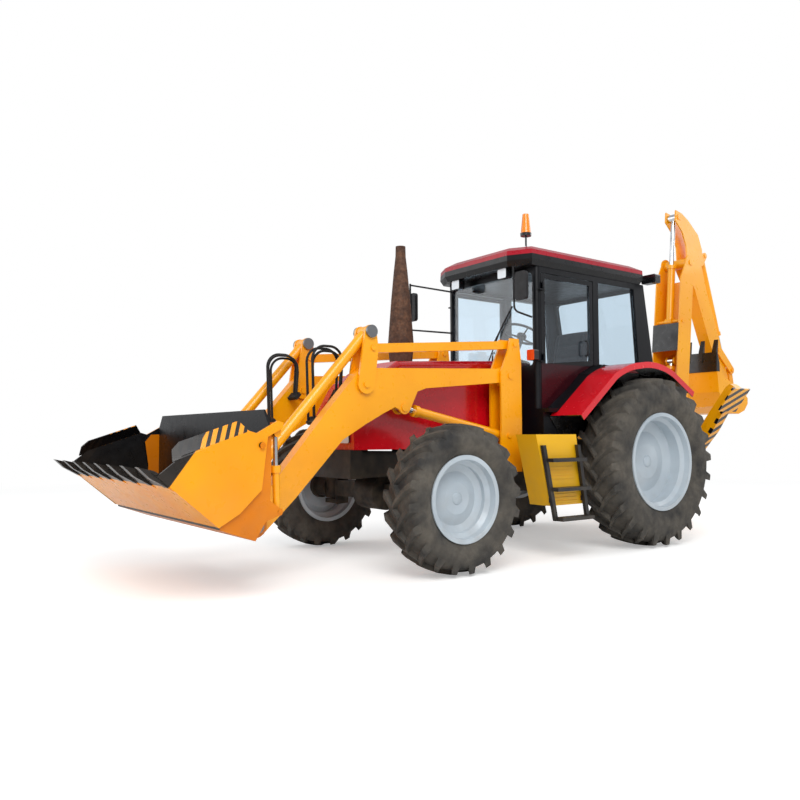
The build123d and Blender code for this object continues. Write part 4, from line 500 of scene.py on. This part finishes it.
def grid_faces(rows, columns, wrap_rows=False, wrap_columns=False):
    """Quads that join a grid of points, in row-major order."""
    r = np.arange(rows if wrap_rows else rows - 1)[:, None]
    c = np.arange(columns if wrap_columns else columns - 1)[None, :]
    a = r * columns + c
    b = r * columns + (c + 1) % columns
    d = ((r + 1) % rows) * columns + c
    e = ((r + 1) % rows) * columns + (c + 1) % columns
    return np.stack([a, b, e, d], -1).reshape(-1, 4)


def capped(rows, columns):
    """Faces of a closed skin: rings of points in rows, with a flat cap at either end."""
    return grid_faces(rows, columns, wrap_columns=True).tolist() + [
        list(range(columns))[::-1], list(range((rows - 1) * columns, rows * columns))]


def turned_over(faces):
    """The same faces seen from the other side."""
    return [face[::-1] for face in faces]


def turned(profile, x, z, steps):
    """A profile of (y, radius) turned about the wheel axis: each row is one step of
    the angle, each column one profile point."""
    turn = np.linspace(0, 2 * pi, steps, endpoint=False)[:, None]
    y, r = np.asarray(profile, float).T
    points = np.stack(np.broadcast_arrays(x + r * np.sin(turn), y, z + r * np.cos(turn)), -1)
    return points.reshape(-1, 3), grid_faces(steps, len(y), wrap_rows=True)


SHOULDER, CROWN, BULGE = 0.60, 0.75, 0.7      # powers of the casing's curves
WAIST = 0.46                                  # height of the widest point, of rim to tread
CASING_STEPS = 120
LUG_HEIGHT, LUG_FALL = 0.036, 0.020           # over the casing, and fall of its top outward
LUG_START, LUG_TOE, LUG_SHORT = -0.03, 0.018, 0.016    # start past the middle, foot, top's end
LUG_HALF_W, LUG_SPREAD, LUG_FLARE = 0.027, 0.012, 0.25
LUG_SWEEP, LUG_BURIED = 0.72, 0.012           # run round the tyre in widths, depth in the casing


def casing_radius(y, half, middle, tread):
    """Radius of the casing's upper half at y: a superellipse from the widest
    point (half, middle) up to the crown (0, tread)."""
    c = np.clip(np.abs(y) / half, 0, 1) ** (1 / SHOULDER)
    return middle + (tread - middle) * np.sqrt(1 - c * c) ** CROWN


def tyre(name, x, y0, radius, width, rim_r, rim_w, lugs, body, node):
    """Farm tyre: a turned casing with a rounded sidewall, and curved lugs that
    run from past the middle to each shoulder, their tops on the full radius."""
    half = width / 2 - 0.004
    tread, middle = radius - LUG_HEIGHT, rim_r + (radius - rim_r) * WAIST
    tau = np.linspace(0, pi / 2, 12)
    upper = np.stack([half * np.cos(tau) ** SHOULDER,
                      middle + (tread - middle) * np.sin(tau) ** CROWN], -1)
    rise = np.linspace(0, 1, 8)
    bead = np.array([[rim_w / 2 - 0.012, rim_r + 0.006]])
    bulge = np.stack([(half - bead[0, 0]) * np.sin(rise * pi / 2) ** BULGE,
                      (middle - bead[0, 1]) * rise], -1)
    outer = np.concatenate([bead + bulge[:-1], upper])
    inner = np.array([[rim_w / 2 - 0.03, rim_r + 0.01]])
    side = np.concatenate([inner, bead - [[0.0, 0.01]], outer])
    profile = np.concatenate([side, (side * [-1, 1])[::-1][1:]])
    profile[:, 0] += y0
    points, faces = turned(profile[::-1], x, radius, CASING_STEPS)
    # lugs: rows along the bar, four points across it (deep ones lie in the casing), for
    # every bar on both sides
    t = np.linspace(0, 1, 12)[None, :, None]
    number = np.arange(lugs)[:, None, None]
    across = np.array([-1.0, -0.62, 0.62, 1.0])[None, None, :]
    deep = np.array([1.0, 0.0, 0.0, 1.0])[None, None, :]
    all_points, all_faces, count = [points], [faces], len(points)
    for s in (1, -1):
        start = (number + (0.25 if s > 0 else 0.75)) * 2 * pi / lugs
        reach = LUG_START + t * (half - LUG_START)
        foot = np.minimum(reach + LUG_TOE * deep * (t > 0.9), half)
        top = radius - LUG_FALL * t ** 2 - 0.0005
        swing = (1.05 * t - 0.30 * t ** 2) * width * LUG_SWEEP / radius
        bar = (LUG_HALF_W + LUG_SPREAD * t) / radius
        angle = start - swing + across * bar * (1 + LUG_FLARE * deep)
        low = casing_radius(foot, half, middle, tread) - LUG_BURIED
        r = np.where(deep > 0, low, top * np.ones_like(low))
        y = np.where(deep > 0, foot, np.minimum(reach, half - LUG_SHORT))
        y, r, angle = np.broadcast_arrays(y0 + s * y, r, angle)
        lug = np.stack([x + r * np.sin(angle), y, radius + r * np.cos(angle)], -1)
        rows = t.shape[1]
        strip = grid_faces(rows, 4)
        caps = np.array([[3, 2, 1, 0], [(rows - 1) * 4 + k for k in range(4)]])
        one = np.concatenate([strip, caps])
        one = one if s < 0 else one[:, ::-1]
        all_faces.append((one[None] + number * rows * 4).reshape(-1, 4) + count)
        all_points.append(lug.reshape(-1, 3))
        count += lugs * rows * 4
    piece = surface(name, np.concatenate(all_points), np.concatenate(all_faces), tyre_rubber, body,
                    "tyre", False)
    smooth = np.zeros(len(piece.data.polygons), bool)
    smooth[:len(faces)] = True
    piece.data.polygons.foreach_set("use_smooth", smooth.tolist())
    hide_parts(node)
    return piece


TYRES = (
    # name, axle x, middle y, radius, width, rim radius, rim width, lugs
    ("front", FRONT_X, 0.983, FRONT_R, 0.360, 0.330, 0.290, 20),
    ("rear", REAR_X, 0.938, REAR_R, 0.440, 0.457, 0.380, 24),
)
for name, x, track, radius, width, rim_r, rim_w, lugs in TYRES:
    for hand, s in SIDES:
        tyre(f"{name}_farm_tyre_{hand}", x, s * track, radius, width, rim_r, rim_w, lugs,
             f"wheel_{name}_{hand}", f"{name}_tyre_{hand}")


# ---------------------------------------------------------------- cab interior
def swept(path, radii, up, sides=16, closed=False):
    """A tube along a path: ring k is path[k] + r (n cos t + b sin t), with n and b
    square to the run; open tubes end in a flat cap."""
    path = np.asarray(path, float)
    run = (np.roll(path, -1, 0) - np.roll(path, 1, 0)) if closed else np.gradient(path, axis=0)
    run /= np.linalg.norm(run, axis=1, keepdims=True)
    n = np.cross(run, np.asarray(up, float))
    n /= np.linalg.norm(n, axis=1, keepdims=True)
    b = np.cross(run, n)
    t = np.linspace(0, 2 * pi, sides, endpoint=False)[None, :, None]
    r = np.broadcast_to(np.asarray(radii, float), (len(path),))[:, None, None]
    points = path[:, None] + r * (n[:, None] * np.cos(t) + b[:, None] * np.sin(t))
    if closed:
        return points.reshape(-1, 3), grid_faces(len(path), sides, True, True).tolist()
    return points.reshape(-1, 3), capped(len(path), sides)


def joined(*pieces):
    """Several point and face sets as one."""
    points, faces, count = [], [], 0
    for p, f in pieces:
        points.append(np.asarray(p, float).reshape(-1, 3))
        faces += [[int(i) + count for i in face] for face in f]
        count += len(points[-1])
    return np.concatenate(points), faces


SEWN_ROWS, SEWN_SIDES = (-0.45, 0.0, 0.45), 0.72    # channels at these shares of a pad
SEAM_DEPTH, SEAM_ROW, SEAM_SIDE = 0.010, 0.035, 0.03
CORNER_ROUND, SIDE_WAIST = 0.10, 0.035


def cushion(name, middle, across, along, face, half_w, half_l, thick, crown):
    """A sewn pad on the unit square (u, v).  Width and length shrink at the corners by
    the root of 1 - 0.10 u^2 v^2 and in the middle of each side by 3.5 per cent.  The
    skins part by thick times the 0.45th power of (1 - u^8)(1 - v^8), plus the crown
    times (1 - u^2)(1 - v^2), less the bell-shaped channels along the seams."""
    rows, columns = 41, 41
    u = np.linspace(-1, 1, columns)[None, :]
    v = np.linspace(-1, 1, rows)[:, None]
    square = np.sqrt(1 - CORNER_ROUND * u * u * v * v)
    width = half_w * u * square * (1 - SIDE_WAIST * (1 - v * v) * np.abs(u) ** 3)
    length = half_l * v * square * (1 - SIDE_WAIST * (1 - u * u) * np.abs(v) ** 3)
    rim = ((1 - np.abs(u) ** 8) * (1 - np.abs(v) ** 8)) ** 0.45
    seams = sum(np.exp(-((v - row) / SEAM_ROW) ** 2) for row in SEWN_ROWS)
    seams = seams + np.exp(-((np.abs(u) - SEWN_SIDES) / SEAM_SIDE) ** 2)
    dome = (1 - u * u) * (1 - v * v)
    top = thick / 2 * rim + crown * dome - SEAM_DEPTH * np.clip(seams, 0, 1) * rim
    low = -thick / 2 * rim
    directions = [np.asarray(a, float) / np.linalg.norm(a) for a in (across, along, face)]

    def skin(height):
        flat = np.stack(np.broadcast_arrays(width, length, height), -1)
        return np.asarray(middle, float) + sum(flat[..., k:k + 1] * directions[k] for k in range(3))

    faces = grid_faces(rows, columns)
    points = np.concatenate([skin(top).reshape(-1, 3), skin(low).reshape(-1, 3)])
    both_skins = np.concatenate([faces, faces[:, ::-1] + rows * columns])
    piece = surface(name, points, both_skins, seat_cloth, "chassis", "seat")
    weld = piece.modifiers.new("weld", "WELD")
    weld.merge_threshold = 0.0004
    return piece


SEAT_X = REAR_X + 0.230
lean = Vector((-0.130, 0, 0.620)).normalized()
cushion("seat_cushion", (SEAT_X, 0, 1.530), LEFT, BACKWARD, UP,
        half_w=0.228, half_l=0.246, thick=0.104, crown=0.020)
cushion("seat_backrest", (REAR_X - 0.026, 0, 1.850), LEFT, tuple(lean), (lean.z, 0, -lean.x),
        half_w=0.228, half_l=0.300, thick=0.088, crown=0.018)

# bellows under the seat: a rounded square, |cos|^6 + |sin|^6 = 1, whose size sinks in each fold
FOLDS, BELLOWS_ROWS, BELLOWS_SIDES = 5, 61, 48
BELLOWS_R, FOLD_DEPTH = 0.98 * 0.150, 0.98 * 0.022
BELLOWS_LOW, BELLOWS_HIGH = 1.071, 1.478
bellows_r = BELLOWS_R - FOLD_DEPTH * np.abs(np.sin(np.linspace(0, FOLDS * pi, BELLOWS_ROWS)))
bellows_z = np.linspace(BELLOWS_LOW, BELLOWS_HIGH, BELLOWS_ROWS)[:, None]
turn = np.linspace(0, 2 * pi, BELLOWS_SIDES, endpoint=False)
reach = bellows_r[:, None] * (np.abs(np.cos(turn)) ** 6 + np.abs(np.sin(turn)) ** 6) ** (-1 / 6)
bellows = np.stack(np.broadcast_arrays(
    SEAT_X + reach * np.cos(turn), reach * np.sin(turn), bellows_z), -1)
surface("seat_suspension", bellows, capped(BELLOWS_ROWS, BELLOWS_SIDES), hose_rubber,
        "chassis", "seat")

# instrument stand: its side outline (x, z), and its levels (y, share of the full outline)
STAND_EDGE = ((1.075, 1.070), (1.075, 1.640), (0.990, 1.780), (0.820, 1.750), (0.880, 1.070))
STAND_LEVELS = np.array([(-0.248, 0.94), (-0.244, 0.98), (-0.235, 0.995),
                         (0.235, 0.995), (0.244, 0.98), (0.248, 0.94)])
corners = np.array(STAND_EDGE) + [REAR_X, 0]
steps = np.linspace(0, 1, 12, endpoint=False)[:, None]
outline = np.concatenate([a + (b - a) * steps for a, b in zip(corners, np.roll(corners, -1, 0))])
for _ in range(3):    # three passes of the mean (before + 2 here + after) / 4 round the corners
    outline = (np.roll(outline, 1, 0) + outline * 2 + np.roll(outline, -1, 0)) / 4
heart = outline.mean(0)
flat = heart + (outline - heart) * STAND_LEVELS[:, 1, None, None]
stand = np.stack(np.broadcast_arrays(flat[..., 0], STAND_LEVELS[:, :1], flat[..., 1]), -1)
surface("instrument_stand", stand, capped(len(STAND_LEVELS), len(outline)), dash_plastic,
        "chassis", "seat")

# steering wheel: rim, three dished spokes, boss and column
WHEEL_R, WHEEL_BAR, DISH = 0.191, 0.0125, 0.035
SPOKE_START, SPOKE_LENGTH, SPOKE_R, SPOKE_TAPER = 0.02, 0.168, 0.011, 0.004
COLUMN_START, COLUMN_LENGTH, COLUMN_R, SLEEVE = 0.045, 0.330, 0.030, 0.006
BOSS = np.array([(-0.052, 0.030), (-0.048, 0.044), (-0.020, 0.050),
                 (-0.004, 0.044), (0.002, 0.020), (0.003, 0.003)])    # reach along the axis, radius
axis = Vector((-0.45, 0, 0.9)).normalized()
hub, across, high, axis = (np.array(v) for v in (
    Vector((REAR_X + 0.690, 0, 2.060)), Vector(LEFT), axis.cross(Vector(LEFT)), axis))
t = np.linspace(0, 2 * pi, 72, endpoint=False)[:, None]
circle = hub + WHEEL_R * (np.cos(t) * across + np.sin(t) * high)
parts = [swept(circle, WHEEL_BAR, axis, 12, True),
         swept(hub + axis * BOSS[:, :1], BOSS[:, 1], LEFT, 24)]
k = np.linspace(0, 1, 24)[:, None]
parts.append(swept(hub - axis * (COLUMN_START + COLUMN_LENGTH * k),
                   COLUMN_R + SLEEVE * (k[:, 0] > 0.55), LEFT, 20))
k = np.linspace(0, 1, 9)[:, None]
for a in (90, 210, 330):
    out = across * cos(radians(a)) + high * sin(radians(a))
    path = hub - axis * DISH * (1 - k ** 2) + out * (SPOKE_START + SPOKE_LENGTH * k)
    parts.append(swept(path, SPOKE_R - SPOKE_TAPER * k[:, 0], axis, 10))
surface("steering_wheel", *joined(*parts), dash_plastic, "chassis", "seat")
for piece in ("seat_cushion", "seat_backrest", "seat_suspension", "instrument_stand",
              "steering_wheel"):
    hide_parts("cab_interior")


# ---------------------------------------------------------------- wheel bolts and hubs
def bolt_heads(ring_r, count, head_r, height, x, y, z, side):
    """Hexagon heads on a bolt circle: head k sits at ring_r (sin a, cos a), and its rings
    shrink from a round washer to the hexagon and a chamfered top."""
    rings = np.array([(0.0, 1.30), (0.18, 1.30), (0.20, 1.0), (0.82, 1.0), (1.0, 0.80), (1.0, 0.02)])
    sides = 12
    k = np.linspace(0, 2 * pi, sides, endpoint=False)
    hexagon = 1 / np.cos((k % (pi / 3)) - pi / 6) * cos(pi / 6)
    washer = np.arange(len(rings))[:, None] < 2
    turn = np.linspace(0, 2 * pi, count, endpoint=False)[:, None, None]
    r = head_r * rings[:, 1:] * np.where(washer, 1.0, hexagon[None, :])
    points = np.stack(np.broadcast_arrays(
        x + ring_r * np.sin(turn) + r * np.sin(k), y + side * height * rings[:, :1],
        z + ring_r * np.cos(turn) + r * np.cos(k)), -1)
    one = capped(len(rings), sides)
    return joined(*[(head, turned_over(one) if side > 0 else one) for head in points])


def hub_cap(x, y, z, side, outline, steps=48):
    """A turned cap: each (reach, radius) of the outline swept round the axle."""
    t = np.linspace(0, 2 * pi, steps, endpoint=False)
    outline = np.asarray(outline, float)
    points = np.stack(np.broadcast_arrays(
        x + outline[:, 1:] * np.sin(t), y + side * outline[:, :1],
        z + outline[:, 1:] * np.cos(t)), -1)
    faces = grid_faces(len(outline), steps, wrap_columns=True).tolist()
    return points.reshape(-1, 3), turned_over(faces) if side > 0 else faces


BOLTS, BOLT_R, BOLT_HEIGHT = 8, 0.0125, 0.014
WHEEL_FACES = (
    # name, axle x, axle height, reach of the rim's face, bolt circle's radius, cap's outline
    ("front", FRONT_X, FRONT_R, 1.0005, 0.082,
     ((-0.002, 0.050), (0.018, 0.048), (0.024, 0.040), (0.026, 0.001))),
    ("rear", REAR_X, REAR_R, 0.930, 0.115,
     ((-0.002, 0.060), (0.022, 0.056), (0.030, 0.044), (0.032, 0.001))),
)
for hand, s in SIDES:
    for name, x, z, face, ring_r, cap in WHEEL_FACES:
        body = f"wheel_{name}_{hand}"
        heads = bolt_heads(ring_r, BOLTS, BOLT_R, BOLT_HEIGHT, x, s * face, z, s)
        surface(f"{name}_wheel_bolts_{hand}", *heads, bolt_steel, body, "steel", False)
        surface(f"{name}_hub_cap_{hand}", *hub_cap(x, s * face, z, s, cap), rim_paint, body, "rim")


# ---------------------------------------------------------------- wipers, handles and hoses
def curve_points(stations, count):
    """Points of the Catmull-Rom curve through stations:
    ((2 b) + (c - a) t + (2 a - 5 b + 4 c - d) t^2 + (3 b - a - 3 c + d) t^3) / 2."""
    p = np.asarray(stations, float)
    p = np.concatenate([2 * p[:1] - p[1:2], p, 2 * p[-1:] - p[-2:-1]])
    t = np.linspace(0, 1, count, endpoint=False)[:, None]
    a, b, c, d = (p[i:len(p) - 3 + i, None] for i in range(4))
    run = (2 * b + (c - a) * t + (2 * a - 5 * b + 4 * c - d) * t ** 2
           + (3 * b - a - 3 * c + d) * t ** 3) / 2
    return np.concatenate([run.reshape(-1, 3), p[-2:-1]])


def tube(name, stations, radius, up, material, body, slot, sides=12):
    """A round bar or hose along the curve through its stations."""
    return surface(name, *swept(curve_points(stations, 8), radius, up, sides), material, body, slot)


tube("front_wiper", ((0.262, -0.06, 1.660), (0.268, -0.04, 1.72), (0.262, 0.10, 1.98),
                     (0.258, 0.16, 2.08)), 0.006, (0, 1, 0.2), mirror_plastic, "chassis", "black")
tube("front_wiper_blade", ((0.257, 0.02, 1.90), (0.258, 0.16, 2.08), (0.256, 0.30, 2.26)), 0.008,
     FORWARD, mirror_plastic, "chassis", "black")
# door handle: (x, distance from the middle plane, z) of each station
HANDLE = ((-0.390, 0.624, 1.800), (-0.388, 0.652, 1.806), (-0.388, 0.656, 1.87),
          (-0.388, 0.652, 1.934), (-0.390, 0.624, 1.940))
for hand, s in SIDES:
    tube(f"door_handle_{hand}", [(x, s * y, z) for x, y, z in HANDLE], 0.009, (1, 0, 0.1),
         mirror_plastic, f"door_{hand}", "black")


# ---------------------------------------------------------------- door panes
def pane(name, corners, depth, radius, body):
    """A flat pane: each corner c is rounded by the curve c + radius ((1 - t)^2 before +
    t^2 after), with the unit vectors to its neighbours, and the outline is the front and
    back face of a thin slab."""
    corners = np.asarray(corners, float)
    before = np.roll(corners, 1, 0) - corners
    after = np.roll(corners, -1, 0) - corners
    before /= np.linalg.norm(before, axis=1, keepdims=True)
    after /= np.linalg.norm(after, axis=1, keepdims=True)
    t = np.linspace(0, 1, 7)[None, :, None]
    run = (1 - t) ** 2 * (before * radius)[:, None] + t ** 2 * (after * radius)[:, None]
    run = (run + corners[:, None]).reshape(-1, 2)
    slab = np.concatenate([np.insert(run, 1, y, axis=1) for y in depth])
    surface(name, slab, turned_over(capped(2, len(run))), cab_glazing, body, "glass", False)


DOOR_OPENING = ((0.155, 1.700), (-0.465, 1.755), (-0.465, 2.485), (0.155, 2.485))
PANE_INNER_Y, PANE_OUTER_Y, PANE_CORNER = 0.602, 0.607, 0.03
for hand, s in SIDES:
    pane(f"door_pane_{hand}", DOOR_OPENING, (s * PANE_INNER_Y, s * PANE_OUTER_Y)[::s], PANE_CORNER,
         f"door_{hand}")


# ---------------------------------------------------------------- camera, light and floor
camera = bpy.data.objects.new("camera", bpy.data.cameras.new("camera"))
bpy.context.scene.collection.objects.link(camera)
CAMERA_PLACE = (5.378, 5.424, 1.041)
YAW, PITCH, ROLL = radians(-126.547), radians(3.064), radians(-0.203)
gaze = Vector((cos(PITCH) * cos(YAW), cos(PITCH) * sin(YAW), sin(PITCH)))
right = gaze.cross(Vector(UP)).normalized()
up = right.cross(gaze)
level_right = cos(ROLL) * right + sin(ROLL) * up
level_up = -sin(ROLL) * right + cos(ROLL) * up
camera.matrix_world = Matrix.Translation(CAMERA_PLACE) @ Matrix(
    (level_right, level_up, -gaze)).transposed().to_4x4()
camera.data.sensor_width = 36.0
camera.data.lens = 34.416
camera.data.shift_y = -0.00625
camera.data.clip_end = 400.0
bpy.context.scene.camera = camera
bpy.context.scene.view_settings.view_transform = "Standard"


WHITE = (1, 1, 1, 1)
FLOOR_HALF, FLOOR_Z = 150, -0.002
FADE_START, FADE_END = 6.0, 13.0    # the floor turns plain white between these distances


def seen_white(tree, lit):
    """A shader that is plain white to the camera, also through glass, and lights the
    object as the given one."""
    path = add(tree, "ShaderNodeLightPath")
    direct = either(tree, path.outputs["Is Camera Ray"], path.outputs["Is Transmission Ray"])
    white = add(tree, "ShaderNodeBackground", {"Color": WHITE, "Strength": 1.0})
    return add(tree, "ShaderNodeMixShader", (direct, lit, white.outputs[0])).outputs[0]


world = bpy.data.worlds.new("studio")
world.use_nodes = True
world.node_tree.nodes.clear()
bpy.context.scene.world = world
dim = add(world.node_tree, "ShaderNodeBackground", {"Color": linear("#F4F6FA"), "Strength": 0.62})
add(world.node_tree, "ShaderNodeOutputWorld", {"Surface": seen_white(world.node_tree, dim.outputs[0])})

floor_material, tree, place = blank("studio_floor")
path = add(tree, "ShaderNodeLightPath")
plain = add(tree, "ShaderNodeBsdfDiffuse", {"Color": linear("#F0F0EE")})
glow = add(tree, "ShaderNodeEmission", {"Color": WHITE, "Strength": 1.0})
faint = add(tree, "ShaderNodeEmission", {"Color": WHITE, "Strength": 0.35})
lit = add(tree, "ShaderNodeAddShader", (plain.outputs[0], faint.outputs[0]))
reach = add(tree, "ShaderNodeVectorMath", (place,), operation="LENGTH").outputs["Value"]
far = add(tree, "ShaderNodeMapRange", {"Value": reach, "From Min": FADE_START,
                                       "From Max": FADE_END}).outputs[0]
seen = add(tree, "ShaderNodeMixShader", (far, lit.outputs[0], glow.outputs[0]))
mix = add(tree, "ShaderNodeMixShader",
          (path.outputs["Is Camera Ray"], plain.outputs[0], seen.outputs[0]))
add(tree, "ShaderNodeOutputMaterial", {"Surface": mix.outputs[0]})
floor_mesh = bpy.data.meshes.new("studio_floor")
floor_mesh.from_pydata([(x * FLOOR_HALF, y * FLOOR_HALF, FLOOR_Z)
                        for x, y in ((-1, -1), (1, -1), (1, 1), (-1, 1))], [], [(0, 1, 2, 3)])
floor_mesh.materials.append(floor_material)
floor = bpy.data.objects.new("studio_floor", floor_mesh)
bpy.context.scene.collection.objects.link(floor)

AIM = Vector((0, 0, 1.2))
LIGHTS = (
    # name, place, size, power in watts
    ("key", (5.5, 7.5, 8.0), 6.0, 720.0),
    ("fill", (7.0, -6.0, 5.0), 6.0, 180.0),
    ("back", (-8.0, 2.0, 7.0), 6.0, 220.0),
)
for name, spot, size, power in LIGHTS:
    lamp = bpy.data.lights.new(name, "AREA")
    lamp.size, lamp.energy = size, power
    holder = bpy.data.objects.new(name, lamp)
    holder.location = spot
    holder.rotation_euler = (AIM - Vector(spot)).to_track_quat("-Z", "Y").to_euler()
    bpy.context.scene.collection.objects.link(holder)
